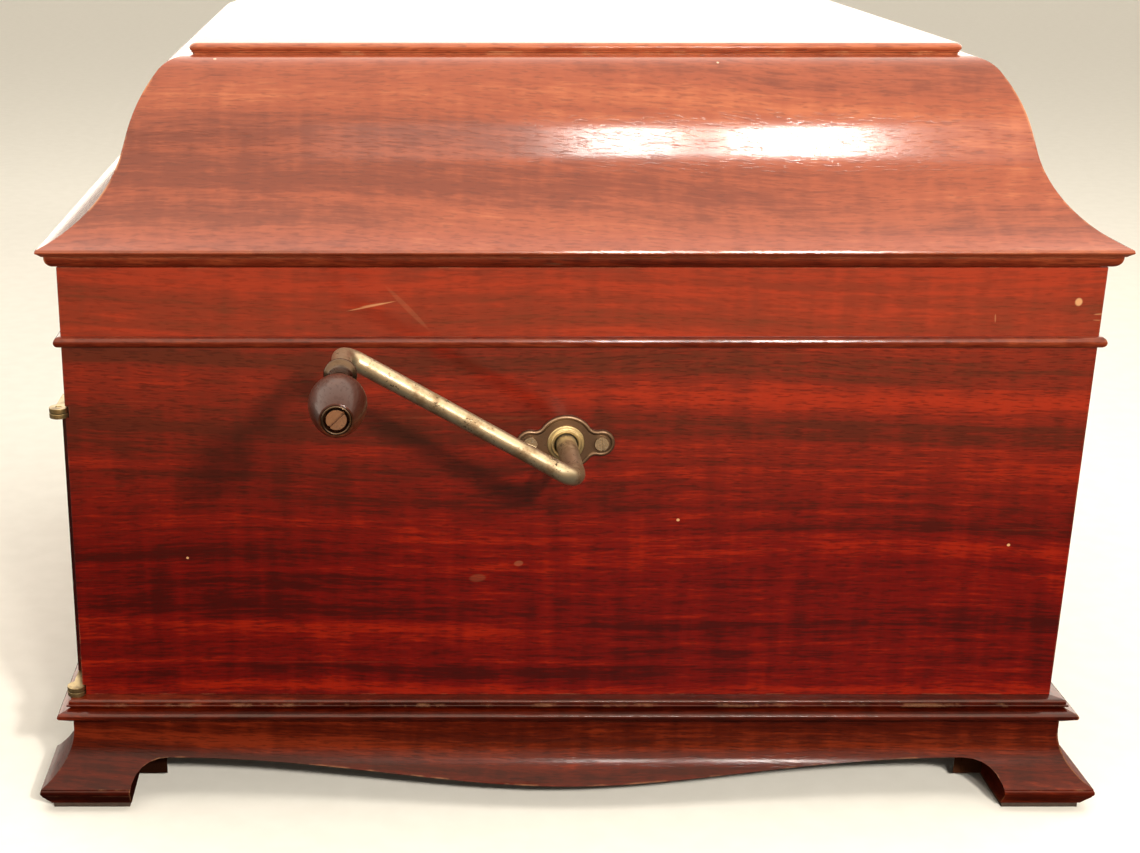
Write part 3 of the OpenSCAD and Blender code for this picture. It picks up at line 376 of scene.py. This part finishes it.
def add_flat(line, radius, start, end):
    """Adds the chord of an arc to an outline, with points near its ends that keep its shading flat."""
    x, z = line[-1]
    first, last = math.radians(start), math.radians(end)
    across, down = radius * (math.sin(last) - math.sin(first)), radius * (math.cos(last) - math.cos(first))
    line += [(x + share * across, z + share * down) for share in (0.08, 0.92, 1.0)]


def on_side(side, out, along, z):
    """A place, in millimetres, by one side of the case: out of its face, along it, and up."""
    face = (HALF_DEP, HALF_LEN)[side % 2]
    x, y = along * MM, -face - out * MM
    turn = math.radians(90 * side)
    cos, sin = math.cos(turn), math.sin(turn)
    return Vector((x * cos - y * sin, MID_Y + x * sin + y * cos, z * MM))


def mitred_run(build, side, outline, start=None, end=None):
    """One side of a frame with that outline. An end left out is mitred at the corner."""
    half = (HALF_LEN, HALF_DEP)[side % 2] / MM
    low = [on_side(side, o, -half - o if start is None else start, z) for o, z in outline]
    high = [on_side(side, o, half + o if end is None else end, z) for o, z in outline]
    skin(build, [low, high])


def lathe(build, place, outline, turns=72):
    """Turns a closed outline of (radius, distance along the axis) about an axis. place(u, v, w) puts it in
    the frame."""
    rings = []
    for i in range(turns):
        a = 2 * math.pi * i / turns
        rings.append([place(r * math.cos(a), r * math.sin(a), w) for r, w in outline])
    skin(build, rings, closed=True)


def rounded_loop(half_x, half_y, corner, z):
    """A rectangle with round corners about the middle of the case, in metres."""
    loop = []
    for k, (sx, sy) in enumerate(((1, 1), (-1, 1), (-1, -1), (1, -1))):
        centre = (sx * (half_x - corner), MID_Y + sy * (half_y - corner))
        loop += [(x, y, z) for x, y in arc(centre, corner, 90 * k, 90 * k + 90, 5)]
    return loop


# ---------- lid ----------

LID_FOOT = 289.2                                    # height of the lid boards' lower edge
LID_SEAT = 375.5                                    # height where the cap plate lies on them
LID_BACK = ((-13, LID_FOOT), (-13, 296), (-31, 312), (-39, 330), (-44, 348), (-58, 363.5), (-70, 363.5),
            (-70, LID_SEAT))


def ogee_outline():
    """Outline of the lid's boards: a round shoulder, a hollow and a small round nose, then the inside."""
    steepest, straight = 74, 9.5
    line = [(-57.5, LID_SEAT)]
    carry_on(line, 16, 3, 52, 24)
    carry_on(line, 80, 52, steepest, 14)
    x, z = line[-1]
    slope = math.radians(steepest)
    line.append((x + straight * math.cos(slope), z - straight * math.sin(slope)))
    carry_on(line, 61, steepest, 21, 34)
    # The small nose, with a narrow flat that catches the light as a line
    nose = 1.15
    carry_on(line, nose, 21, 41, 3)
    add_flat(line, nose, 41, 100)
    carry_on(line, nose, 100, 165, 5)
    line.append((5.6, LID_FOOT))
    return line + list(LID_BACK)


LID_STRIPE = 26.0                                   # the lid's ribbon stripes are wider than the case's


def make_lid():
    outline = ogee_outline()
    for side, name in enumerate(SIDES):
        name = "lid_" + name
        build = bmesh.new()
        mitred_run(build, side, outline)
        material = wood(name, GRAINS[side], LID_RED, 8.3 + side, stripe=LID_STRIPE, contrast=0.8,
                        coat_rough=0.13, wear=0.7, flecks=0.75)
        piece(name + "_board", build, material, "lid", name)
    low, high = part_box("lid_cap")
    ring_x, ring_y = high.x, high.y - MID_Y
    top, seat = high.z, LID_SEAT * MM
    # Cap plate: a quirk under a bullnose edge, as (millimetres outwards, height in metres)
    edge = [(-1.4, seat), (-1.4, seat + 1.0 * MM), (-0.5, seat + 1.25 * MM)]
    edge += [(o, seat + z * MM) for o, z in arc((-1.9, 3.35), 1.9, -62, 62, 9)]
    edge += [(-1.7, top - 0.25 * MM), (-2.6, top)]
    build = bmesh.new()
    skin(build, [rounded_loop(ring_x + o * MM, ring_y + o * MM, (2.8 + o * 0.5) * MM, z) for o, z in edge])
    material = wood("lid_cap", "x", LID_RED, 12.1, stripe=LID_STRIPE, contrast=0.8, wear=0.5)
    piece("lid_cap_plate", build, material, "lid", "lid_cap", 50)
    # Board that closes the lid, seen from below when it's open
    inner_x, inner_y = ring_x - 10.0 * MM, ring_y - 10.0 * MM
    board = [(-0.6, low.z), (0, low.z + 0.6 * MM), (0, seat)]
    build = bmesh.new()
    skin(build, [rounded_loop(inner_x + o * MM, inner_y + o * MM, 1.2 * MM, z) for o, z in board])
    material = wood("lid_inside", "x", INNER_RED, 12.7, coat=0.6)
    piece("lid_top_board", build, material, "lid", "lid_cap", 50)


RIM_Z = 283.4                                       # underside of the rim
RIM_ROUND = 4.8
HINGE_MID = 130                                     # distance of the lid hinges from the middle
HINGE_NOTCH = 30.3                                  # half the length of the notch for a hinge


def make_rim():
    """Quarter round under the lid, with its back run notched for the hinges."""
    full = [(-13, RIM_Z), (-0.2, RIM_Z)] + arc((0, RIM_Z + RIM_ROUND), RIM_ROUND, -90, 0, 10)[1:]
    full += [(RIM_ROUND, LID_FOOT), (-13, LID_FOOT)]
    notched = [(-13, RIM_Z + 1.6), (1.8, RIM_Z + 1.6), (1.8, LID_FOOT), (-13, LID_FOOT)]
    stops = [None]
    for middle in (-HINGE_MID, HINGE_MID):
        stops += [middle - HINGE_NOTCH, middle + HINGE_NOTCH]
    stops.append(None)
    for side, name in enumerate(SIDES):
        build = bmesh.new()
        if name == "back":
            for i, (start, end) in enumerate(zip(stops, stops[1:])):
                mitred_run(build, side, notched if i % 2 else full, start, end)
        else:
            mitred_run(build, side, full)
        material = wood("rim_" + name, GRAINS[side], MOULD_RED, 7.2 + side, wear=0.4, coat_rough=0.13)
        piece("lid_rim_" + name, build, material, "lid", "lid_rim")


# ---------- mouldings ----------

def bead_outline():
    """From above: a half round, with a narrow flat that faces 22 degrees up and catches the light as a
    line."""
    middle, half, radius = BEAD_Z / MM, 2.65, 2.7
    first = math.radians(12)
    line = [(0, middle + half), (0.5 + radius * math.sin(first), middle + radius * math.cos(first))]
    carry_on(line, radius, 12, 58, 4)
    add_flat(line, radius, 58, 78)
    carry_on(line, radius, 78, 168, 8)
    return line + [(0, middle - half)]


def base_mould_outline():
    """From the foot up: a chamfer, a round nose, a hollow slope, a small fillet and a bead at the case."""
    line = [(-30, 44.5), (5.4, 44.5), (5.9, 44.7), (10.3, 47.55)]
    line += arc((9.9, 49.5), 1.9, -70, 74, 12)
    line += [(8.4, 51.75), (6.6, 52.35), (4.9, 53.2), (4.9, 53.5)]
    line += [(7.2, 53.5), (7.4, 53.7), (7.4, 54.4), (7.2, 54.6)]
    line += arc((5.0, 55.4), 1.5, -28, 84, 10)
    return line + [(4.6, 57), (-30, 57)]


def make_mouldings():
    parts = (("bead", bead_outline(), MOULD_RED), ("base", base_mould_outline(), BASE_RED))
    for side, name in enumerate(SIDES):
        for part, outline, tint in parts:
            build = bmesh.new()
            mitred_run(build, side, outline)
            material = wood(part + "_mould_" + name, GRAINS[side], tint, 4 + 1.7 * side, wear=0.35,
                            coat_rough=0.13, coat_ior=1.33)
            piece(part + "_moulding_" + name, build, material, "case", part + "_moulding")


# ---------- crank and its plate ----------

bush_low, bush_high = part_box("crank_bush")
SHAFT_X = (bush_low.x + bush_high.x) / 2
SHAFT_Z = (bush_low.z + bush_high.z) / 2
RISE = math.radians(29.5)                            # slope of the crank's arm
THROW = 124 * MM                                     # from the shaft to the knob's axis
BEND = 9 * MM                                        # radius of the rod's bends
ARM_Y = FACE_Y - 54 * MM                             # plane of the arm
KNOB_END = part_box("crank_knob")[0].y
COLLAR_OUT = 30.3                                    # from the arm's plane to the collar
KNOB_OUT = 45                                        # and to the knob
BORE = 3.1                                           # radius of the hole through both
PLATE_BORE = 9.15


def by_shaft(u, v, out):
    """A place round the crank's shaft, in millimetres: across, up and out of the case."""
    return Vector((SHAFT_X + u * MM, FACE_Y - out * MM, SHAFT_Z + v * MM))


def by_arm(along, y, up=0.0):
    """A place in the plane of the crank's arm, in metres."""
    x = SHAFT_X - along * math.cos(RISE) + up * math.sin(RISE)
    return Vector((x, y, SHAFT_Z + along * math.sin(RISE) + up * math.cos(RISE)))


def by_knob(u, v, w):
    """A place round the knob's axis, in millimetres: across, up and out from the arm's plane."""
    middle = by_arm(THROW, ARM_Y)
    return middle + Vector((u, -w, v)) * MM


def plate_edge():
    """Outline of the crank's plate: a round middle and two round ears, joined by hollows. Each point comes
    with the way out of the outline there."""
    ear, big, small, hollow = 17.5, 14.25, 6.6, 4.0
    x = ((big + hollow) ** 2 - (small + hollow) ** 2 + ear ** 2) / (2 * ear)
    z = math.sqrt((big + hollow) ** 2 - x ** 2)
    low = math.degrees(math.atan2(z, x))
    high = math.degrees(math.atan2(z, x - ear))
    half = []
    for centre, radius, way, start, end, steps in (((0, 0), big, 1, -90, -low, 10),
                                                   ((x, -z), hollow, -1, 180 - low, 180 - high, 7),
                                                   ((ear, 0), small, 1, -high, 0, 14)):
        half += zip(arc(centre, radius, start, end, steps), arc((0, 0), way, start, end, steps))
    lower = half + [((p[0], -p[1]), (n[0], -n[1])) for p, n in half[-2::-1]]
    return lower + [((-p[0], p[1]), (-n[0], n[1])) for p, n in lower[-2:0:-1]]


def make_plate():
    edge = plate_edge()
    level = 1.45
    # How far in from the edge, and how high: a round raised rim, down to the level of the plate
    steps = [(0, 0), (0, 1.3), (0.15, 1.8), (0.55, 2.2), (1.1, 2.3), (1.6, 2.1), (1.95, 1.65), (2.1, level)]
    build = bmesh.new()
    loops = []
    for depth, height in steps:
        ring = [by_shaft(p[0] - n[0] * depth, p[1] - n[1] * depth, height) for p, n in edge]
        loops.append([build.verts.new(point) for point in ring])
    count = len(edge)
    for low, high in zip(loops, loops[1:]):
        for i in range(count):
            j = (i + 1) % count
            build.faces.new((low[i], low[j], high[j], high[i]))
    bore = arc((0, 0), PLATE_BORE, 0, 350, 35)
    hole = [build.verts.new(by_shaft(x, z, level)) for x, z in bore]
    under = [build.verts.new(by_shaft(x, z, 0)) for x, z in bore]
    for i in range(len(bore)):
        j = (i + 1) % len(bore)
        build.faces.new((hole[i], hole[j], under[j], under[i]))
    for outer, inner in ((loops[-1], hole), (loops[0], under)):
        ring = outer + inner
        flat = [[(v.co.x, v.co.z, 0) for v in loop] for loop in (outer, inner)]
        for a, b, c in tessellate_polygon(flat):
            build.faces.new((ring[a], ring[b], ring[c]))
    piece("crank_plate", build, PLATE_METAL, "case", "escutcheon")


def make_bush():
    outline = [(5.7, -6), (5.7, 3.0)] + arc((6.3, 3.0), 0.6, 180, 90, 4) + arc((7.0, 3.2), 0.4, 90, 0, 4)
    outline += [(7.5, 2.6), (7.9, 2.4)] + arc((8.6, 1.9), 0.5, 90, 0, 4)
    outline += [(9.1, 0.1), (6.2, 0.1), (6.2, -6)]
    build = bmesh.new()
    lathe(build, by_shaft, outline)
    piece("crank_bush_ring", build, BUSH_METAL, "case", "crank_bush")


ROD_SIDES = 32


def rod_ring(along, y, heading, radius, pinch=0.0):
    """A ring round the rod's middle line. Heading is 0 along the arm and 90 out of the case. Bends are
    pinched."""
    turn = math.radians(heading)
    ring = []
    for k in range(ROD_SIDES):
        a = 2 * math.pi * k / ROD_SIDES
        across = radius * (1 - 0.08 * pinch) * math.cos(a)
        there = along + math.sin(turn) * across
        ring.append(by_arm(there, y + math.cos(turn) * across, radius * math.sin(a)))
    return ring


def make_crank():
    """A bent rod that swells into its shaft and towards the knob, and ends in the knob's spindle."""
    hidden, sleeve, turn, thin, thick = (r * MM for r in (3.9, 5.3, 4.45, 3.95, 4.55))
    spindle = 2.95 * MM
    step_y, bend_y = FACE_Y + 2.9 * MM, ARM_Y + BEND
    rings = [rod_ring(0, FACE_Y + 12 * MM, 90, hidden), rod_ring(0, step_y, 90, hidden)]
    # The shaft, out of the case
    for i in range(13):
        t = i / 12
        radius = sleeve + (1.06 * turn - sleeve) * t ** 0.7
        rings.append(rod_ring(0, step_y + (bend_y - step_y) * t, 90, radius))
    # First bend
    for i in range(1, 16):
        a = math.radians(6 * i)
        along, y = BEND - BEND * math.cos(a), bend_y - BEND * math.sin(a)
        rings.append(rod_ring(along, y, 90 - 6 * i, turn * (1.06 - 0.06 * i / 15), math.sin(2 * a)))
    # The arm, not quite even along its length
    for i in range(1, 24):
        t = i / 24
        wave = 1 + 0.006 * math.sin(9.1 * t) + 0.004 * math.sin(23.0 * t)
        radius = thin + (thick - thin) * t + (turn - thin) * max(0, 1 - 5 * t) ** 2
        rings.append(rod_ring(BEND + (THROW - 2 * BEND) * t, ARM_Y, 0, radius * wave))
    # Second bend, and the step down to the knob's spindle
    for i in range(16):
        a = math.radians(6 * i)
        along, y = THROW - BEND + BEND * math.sin(a), ARM_Y - BEND + BEND * math.cos(a)
        rings.append(rod_ring(along, y, 6 * i, thick, math.sin(2 * a)))
    collar_y = ARM_Y - (COLLAR_OUT - 0.3) * MM
    for y, radius in ((collar_y + 0.6 * MM, thick), (collar_y, 3.7 * MM), (collar_y, spindle),
                      (KNOB_END + 6 * MM, spindle)):
        rings.append(rod_ring(THROW, y, 90, radius))
    build = bmesh.new()
    skin(build, rings)
    piece("crank_rod", build, CRANK_METAL, "crank", "crank_arm")


def make_knob():
    """The pear-shaped handle with an eyelet round its end screw, and the turned collar behind it."""
    long = (ARM_Y - KNOB_END) / MM - KNOB_OUT
    wide, widest, neck = 0.59 * long, 12.15, 4.6
    outline = [(BORE, 0.0), (4.4, 0.0), (neck, 0.3)]
    for i in range(1, 29):
        s = wide * i / 28
        outline.append((neck + (widest - neck) * (1 - math.cos(math.pi * s / wide)) / 2, s))
    for i in range(1, 25):
        s = wide + (long - wide - 0.6) * i / 24
        outline.append((widest * math.sqrt(1 - 0.69 * ((s - wide) / (long - wide)) ** 1.4), s))
    outline += [(6.45, long - 0.3), (6.2, long - 0.6), (5.2, long - 0.7), (5.2, long - 5.5),
                (BORE, long - 5.5)]
    build = bmesh.new()
    lathe(build, by_knob, [(r, KNOB_OUT + w) for r, w in outline], 96)
    piece("crank_handle", build, KNOB_WOOD, "knob", "crank_knob")
    end = KNOB_OUT + long
    rim = end - 0.56
    eyelet = [(5.2, end - 2.5), (5.2, rim)] + arc((5.65, rim), 0.55, 200, -20, 8) + [(6.1, rim - 0.4)]
    eyelet.append((5.6, end - 2.5))
    build = bmesh.new()
    lathe(build, by_knob, eyelet, 64)
    piece("handle_eyelet", build, FERRULE, "knob", "crank_knob", 60)
    collar = [(BORE, 0), (5.0, 0), (5.9, 0.25), (6.6, 0.7)] + arc((5.55, 2.75), 1.8, -45, 62, 12)
    collar += [(5.6, 5.0), (5.0, 6.2), (4.7, 7.6), (4.55, 9.5), (4.5, 11.5), (4.65, 13.4), (4.8, 14.7),
               (BORE, 14.7)]
    build = bmesh.new()
    lathe(build, by_knob, [(r, COLLAR_OUT + w) for r, w in collar], 64)
    piece("handle_collar", build, FERRULE, "knob", "knob_ferrule")


# ---------- cloth and disc ----------

TRACKS = 36                                         # rows of slots, one to each star wheel
TRACK_GAP = 3.4
SLOT_WIDE = 1.6
SLOT_LONG = 2.7
DRIVE_HOLES = 120
DRIVE_IN, DRIVE_OUT = 167.9, 172.1                  # radii that the drive holes lie between


def make_disc():
    """The tune disc: a thin plate with drive holes near its rim and rows of punched slots. Each band between
    two radii has a cell for every degree, and a hole is one or more cells left out."""
    low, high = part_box("tune_disc")
    reach, top, thick = (high.x - low.x) / 2 / MM, high.z, 1.0 * MM
    middle = ((low.x + high.x) / 2, (low.y + high.y) / 2)
    tracks = [42 + TRACK_GAP * k for k in range(TRACKS)]
    radii = [4.2, 14.0, 28.0]
    for r in tracks:
        radii += [r, r + SLOT_WIDE]
    radii += [DRIVE_IN, DRIVE_OUT, reach - 0.6, reach]
    steps = 360
    # Track and angle of each projection, the same as on the CAD disc
    pegs = [(13 * i % TRACKS, 6 * i + 5) for i in range(60)]

    def place(r, angle, z):
        a = math.radians(angle)
        return Vector((middle[0] + r * MM * math.cos(a), middle[1] + r * MM * math.sin(a), z))

    chance = random.Random(11)
    drive_band = radii.index(DRIVE_IN)
    pitch = steps // DRIVE_HOLES
    gone = {(drive_band, (pitch * i + side) % steps) for i in range(DRIVE_HOLES) for side in (-1, 0)}
    for k, r in enumerate(tracks):
        band = radii.index(r)
        length = max(1, round(SLOT_LONG / math.radians(r)))
        # The cells by a projection stay whole
        kept = {(angle + shift) % steps for track, angle in pegs if track == k for shift in range(-3, 3)}
        j = chance.randrange(2, 14)
        while j < steps - length - 2:
            if not any((j + i) % steps in kept for i in range(length)):
                gone |= {(band, j + i) for i in range(length)}
            j += length + chance.randrange(3, 26)
    build = bmesh.new()
    rings = [[build.verts.new(place(r, a, top)) for a in range(steps)] for r in radii]
    for band, (inner, outer) in enumerate(zip(rings, rings[1:])):
        for j in range(steps):
            if (band, j) not in gone:
                build.faces.new((inner[j], outer[j], outer[(j + 1) % steps], inner[(j + 1) % steps]))
    bmesh.ops.recalc_face_normals(build, faces=build.faces)
    up = sum(face.normal.z for face in build.faces)
    bmesh.ops.solidify(build, geom=build.faces[:], thickness=thick if up > 0 else -thick)
    for k, angle in pegs:
        # A punched tongue under the disc, narrower at its tip
        r = tracks[k]
        half = math.degrees(0.5 * SLOT_WIDE / r)
        tongue = []
        for z, share, inset in ((top - thick + 0.2 * MM, 1, 0), (low.z, 0.7, 0.2)):
            inner, outer = r + inset, r + SLOT_WIDE - inset
            corners = ((inner, -1), (outer, -1), (outer, 1), (inner, 1))
            tongue.append([place(radius, angle + side * half * share, z) for radius, side in corners])
        skin(build, tongue)
    piece("tune_disc_plate", build, DISC_METAL, "disc", "tune_disc", 30)


def make_cloth():
    """Thin cloth stretched behind the grille, with the slightest belly."""
    low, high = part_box("grille_cloth")
    x = (low.x + high.x) / 2
    across, up, belly = 120, 44, 0.25 * MM
    build = bmesh.new()
    rows = []
    for i in range(across + 1):
        y = low.y + (high.y - low.y) * i / across
        row = []
        for j in range(up + 1):
            z = low.z + (high.z - low.z) * j / up
            sag = belly * math.sin(math.pi * j / up) * math.sin(math.pi * i / across)
            row.append(build.verts.new((x + sag, y, z)))
        rows.append(row)
    for near, far in zip(rows, rows[1:]):
        for j in range(up):
            build.faces.new((near[j], near[j + 1], far[j + 1], far[j]))
    made = piece("grille_cloth_sheet", build, CLOTH, "case", "grille_cloth")


# ---------- CAD nodes: softened edges and finishes ----------

def soften(node, width):
    """Rounds a CAD node's arrises with modifiers, and shades its shallow facets smooth."""
    weld = node.modifiers.new("weld", "WELD")
    weld.merge_threshold = 0.004 * MM
    flat = node.modifiers.new("flat", "DECIMATE")
    flat.decimate_type = "DISSOLVE"
    flat.angle_limit = math.radians(0.4)
    edge = node.modifiers.new("edge", "BEVEL")
    edge.width = width
    edge.segments = 2
    edge.limit_method = "ANGLE"
    edge.angle_limit = math.radians(32)
    edge.harden_normals = False
    edge.use_clamp_overlap = True
    shade = node.modifiers.new("shade", "WEIGHTED_NORMAL")
    shade.weight = 50
    shade.keep_sharp = False


def dress(names, material, width=0.0):
    """Gives CAD nodes a material, and rounds their arrises to that width."""
    for name in names.split():
        node = nodes[name]
        node.data.materials.clear()
        node.data.materials.append(material)
        if width:
            soften(node, width)


dress("crank_side_panel",
      wood("case_crank_side", "x", CASE_RED, 1, wear=0.3, specks=0.0, frieze=True, marks=MARKS), 0.7 * MM)
dress("far_side_panel", wood("case_far_side", "x", CASE_RED, 2, wear=0.5, frieze=True), 0.7 * MM)
dress("back_panel", wood("case_back", "y", CASE_RED, 3, frieze=True), 0.4 * MM)
dress("frieze_rail", wood("case_frieze", "y", CASE_RED, 4, wear=0.5, frieze=True), 0.4 * MM)
dress("crank_side_base far_side_base",
      wood("base_long", "x", BASE_RED, 13, rough=0.45, coat=0.55, coat_rough=0.12, wear=0.3, coat_ior=1.30),
      0.8 * MM)
dress("back_base front_base",
      wood("base_short", "y", BASE_RED, 14, rough=0.45, coat=0.45, wear=0.3, coat_ior=1.30), 0.8 * MM)
dress("door_left door_right", wood("door", "z", CASE_RED, 15), 0.5 * MM)
dress("grille", wood("grille", "z", CASE_RED, 16), 0.5 * MM)
dress("bottom_board bedplate_rails", wood("inner", "x", INNER, 17, coat=0.0, rough=0.6))
# Corner blocks made nearly black: painted shade where they show beside the feet
dress("corner_blocks", wood("blocks", "z", BLOCKS_PAINTED_SHADE, 19, coat=0.0, rough=0.6))
dress("foot_pads", paint("pads", (0.05, 0.03, 0.02), 3, 0.6), 0.4 * MM)
BRASS = metal("brass", (0.72, 0.50, 0.22), (0.40, 0.26, 0.11), 1.0, 0.24, 0.3, 0.3)
dress("lid_hinge_leaves case_hinge_leaves lid_stay stay_keeper door_knob_left door_knob_right start_lever",
      BRASS, 0.25 * MM)
AGED = metal("aged_brass", (0.34, 0.26, 0.13), (0.17, 0.12, 0.06), 2.0, 0.32, 0.6, 0.6)
dress("door_pivots_left door_pivots_right case_pivots", AGED, 0.2 * MM)
SCREW_STEEL = metal("screw_steel", (0.50, 0.43, 0.33), (0.33, 0.26, 0.18), 6.0, 0.26, 0.3, 0.3)
dress("escutcheon_screws", SCREW_STEEL, 0.16 * MM)
SCREW_BRASS = metal("screw_brass", (0.36, 0.21, 0.135), (0.22, 0.12, 0.075), 7.0, 0.38, 0.5, 0.5)
dress("knob_screw", SCREW_BRASS, 0.15 * MM)
MOTOR = metal("motor_brass", (0.72, 0.52, 0.22), (0.45, 0.30, 0.12), 8.0, 0.22, 0.2, 0.2)
dress("motor_frame spring_barrel drive_sprocket second_wheel worm_wheel", MOTOR)
dress("star_wheels star_gantry pressure_rollers", MOTOR)
STEEL = metal("steel", (0.55, 0.55, 0.55), (0.33, 0.30, 0.26), 9.0, 0.24, 0.2, 0.3)
dress("winding_arbor click governor_fly disc_spindle", STEEL)
dress("mainspring", metal("spring_blue", (0.14, 0.18, 0.32), (0.20, 0.16, 0.18), 10.0, 0.25, 0.3, 0.2))
dress("combs", metal("comb_steel", (0.58, 0.59, 0.60), (0.40, 0.38, 0.35), 11.0, 0.22, 0.2, 0.2))
DISC_METAL = metal("disc_steel", (0.34, 0.33, 0.31), (0.25, 0.23, 0.20), 12.0, 0.32, 0.15, 0.12)
dress("bedplate", paint("bronzed_iron", (0.13, 0.085, 0.045), 1.0))
dress("drive_bracket bar_bracket", paint("black_iron", (0.02, 0.02, 0.022), 2.0), 0.3 * MM)
BAR_NICKEL = metal("bar_nickel", (0.66, 0.64, 0.60), (0.45, 0.40, 0.33), 13.0, 0.2, 0.2, 0.3)
dress("pressure_bar", BAR_NICKEL, 0.4 * MM)

CRANK_METAL = metal("worn_nickel", (0.38, 0.31, 0.205), (0.200, 0.135, 0.075), 3.0, 0.36, 0.62, 1.0, 0.85)
PLATE_METAL = metal("plate_nickel", (0.20, 0.130, 0.085), (0.13, 0.080, 0.050), 4.0, 0.38, 0.6, 0.35)
BUSH_METAL = metal("bush_brass", (0.56, 0.46, 0.25), (0.38, 0.29, 0.15), 5.0, 0.34, 0.4, 0.3)
KNOB_WOOD = wood("knob", "y", KNOB_BROWN, 18, stripe=60.0, rough=0.42, coat=0.30, coat_rough=0.15,
                 specks=0.004, gloss=0.30)
FERRULE = metal("dark_ferrule", (0.080, 0.052, 0.034), (0.035, 0.022, 0.015), 14.0, 0.26, 0.5, 0.5)
CLOTH = cloth("grille_cloth", (0.42, 0.33, 0.16), (0.16, 0.11, 0.05), 0.9 * MM)
make_lid()
make_rim()
make_mouldings()
make_plate()
make_bush()
make_crank()
make_knob()
make_disc()
make_cloth()

# ---------- floor, lights and camera ----------

LAMP_COLOUR = (1.0, 0.95, 0.88)


def stage_floor():
    s = Shader(bpy.data.materials.new("floor"))
    place = s.add("TexCoord", "Object")
    grain = s.noise(place, 60.0, 4.0)
    seen = s.mix(s.fade(grain, 0.3, 0.7), rgb(0.93, 0.89, 0.79), rgb(0.96, 0.92, 0.82))
    # Reflections take a darker floor near the case, as a black card in front of a glossy piece gives
    card = s.mix(s.fade(s.split(place)[1], -1.25, -0.45), rgb(0.42, 0.27, 0.14), rgb(0.002, 0.001, 0.0005))
    colour = s.mix(s.add("LightPath", "Is Glossy Ray"), seen, card)
    colour = s.mix(s.add("LightPath", "Is Diffuse Ray"), colour, rgb(0.20, 0.18, 0.15))
    material = s.finish({"Base Color": colour, "Roughness": 0.6, "Specular IOR Level": 0.3})
    mesh = bpy.data.meshes.new("floor")
    build = bmesh.new()
    bmesh.ops.create_grid(build, x_segments=8, y_segments=8, size=14.0)
    build.to_mesh(mesh)
    build.free()
    floor = bpy.data.objects.new("floor", mesh)
    mesh.materials.append(material)
    bpy.context.scene.collection.objects.link(floor)


def softbox(name, place, aim, width, height, radiance, lit=True, mirrored=True):
    """A flat area light of that brightness, facing a point. It lights the object, is mirrored in it, or
    both."""
    data = bpy.data.lights.new(name, "AREA")
    data.shape = "RECTANGLE"
    data.size, data.size_y = width, height
    data.energy = radiance * math.pi * width * height
    data.color = LAMP_COLOUR
    lamp = bpy.data.objects.new(name, data)
    lamp.location = place
    lamp.visible_diffuse = lit
    lamp.visible_glossy = mirrored
    lamp.rotation_euler = (Vector(place) - Vector(aim)).to_track_quat("Z", "Y").to_euler()
    bpy.context.scene.collection.objects.link(lamp)


def surroundings():
    """Pale room light, dimmer where it lights the object. The gloss shows a room that is dim in front, low
    down, and bright above, behind and at the left."""
    world = bpy.data.worlds.new("room")
    bpy.context.scene.world = world
    s = Shader(world)
    x, y, up = s.split(s.add("TexCoord", "Generated"))
    wall = s.math("MAXIMUM", s.fade(y, -0.05, 0.40), s.fade(x, -0.95, -0.55, 1.0, 0.0))
    dim = s.mix(s.fade(up, 0.10, 0.42), rgb(0.55, 0.40, 0.24), rgb(3.60, 3.10, 2.40))
    mirrored = s.mix(wall, dim, rgb(3.0, 2.7, 2.3))
    colour = s.mix(s.add("LightPath", "Is Diffuse Ray"), rgb(0.86, 0.82, 0.73), rgb(0.20, 0.19, 0.17))
    colour = s.mix(s.add("LightPath", "Is Glossy Ray"), colour, mirrored)
    light = s.add("Background", 0, {"Color": colour, "Strength": 1.0})
    out = s.tree.nodes.new("ShaderNodeOutputWorld")
    s.tree.links.new(light, out.inputs["Surface"])


def make_camera():
    """The photo's camera, as the straight edges of the case give it."""
    pitch_down = 18.58
    data = bpy.data.cameras.new("camera")
    data.sensor_width = 36.0
    data.lens = 53.72
    data.shift_x = 0.161
    camera = bpy.data.objects.new("camera", data)
    camera.location = (-0.0930, -0.9452, 0.4687)
    camera.rotation_euler = (math.radians(90 - pitch_down), 0, 0)
    data.clip_start = 0.02
    bpy.context.scene.collection.objects.link(camera)
    bpy.context.scene.camera = camera


stage_floor()
surroundings()
make_camera()
LID_SPOT = (0.06, FACE_Y + 0.03, 0.336)
LAMP_LEFT = (0.228, -1.47, 0.93)
LAMP_RIGHT = (0.458, -1.47, 0.93)
softbox("key_left", LAMP_LEFT, LID_SPOT, 0.11, 0.11, 175, mirrored=False)
softbox("key_right", LAMP_RIGHT, LID_SPOT, 0.12, 0.10, 640, mirrored=False)
softbox("gleam_left", LAMP_LEFT, LID_SPOT, 0.070, 0.040, 520, lit=False)
softbox("gleam_right", LAMP_RIGHT, LID_SPOT, 0.125, 0.045, 520, lit=False)
softbox("halo", (0.300, -1.50, 0.95), LID_SPOT, 1.00, 0.34, 1.6, lit=False)
softbox("overhead", (0.0, 0.05, 1.9), (0, 0.05, 0), 2.4, 1.9, 3.0, mirrored=False)
bpy.context.scene.view_settings.view_transform = "Standard"
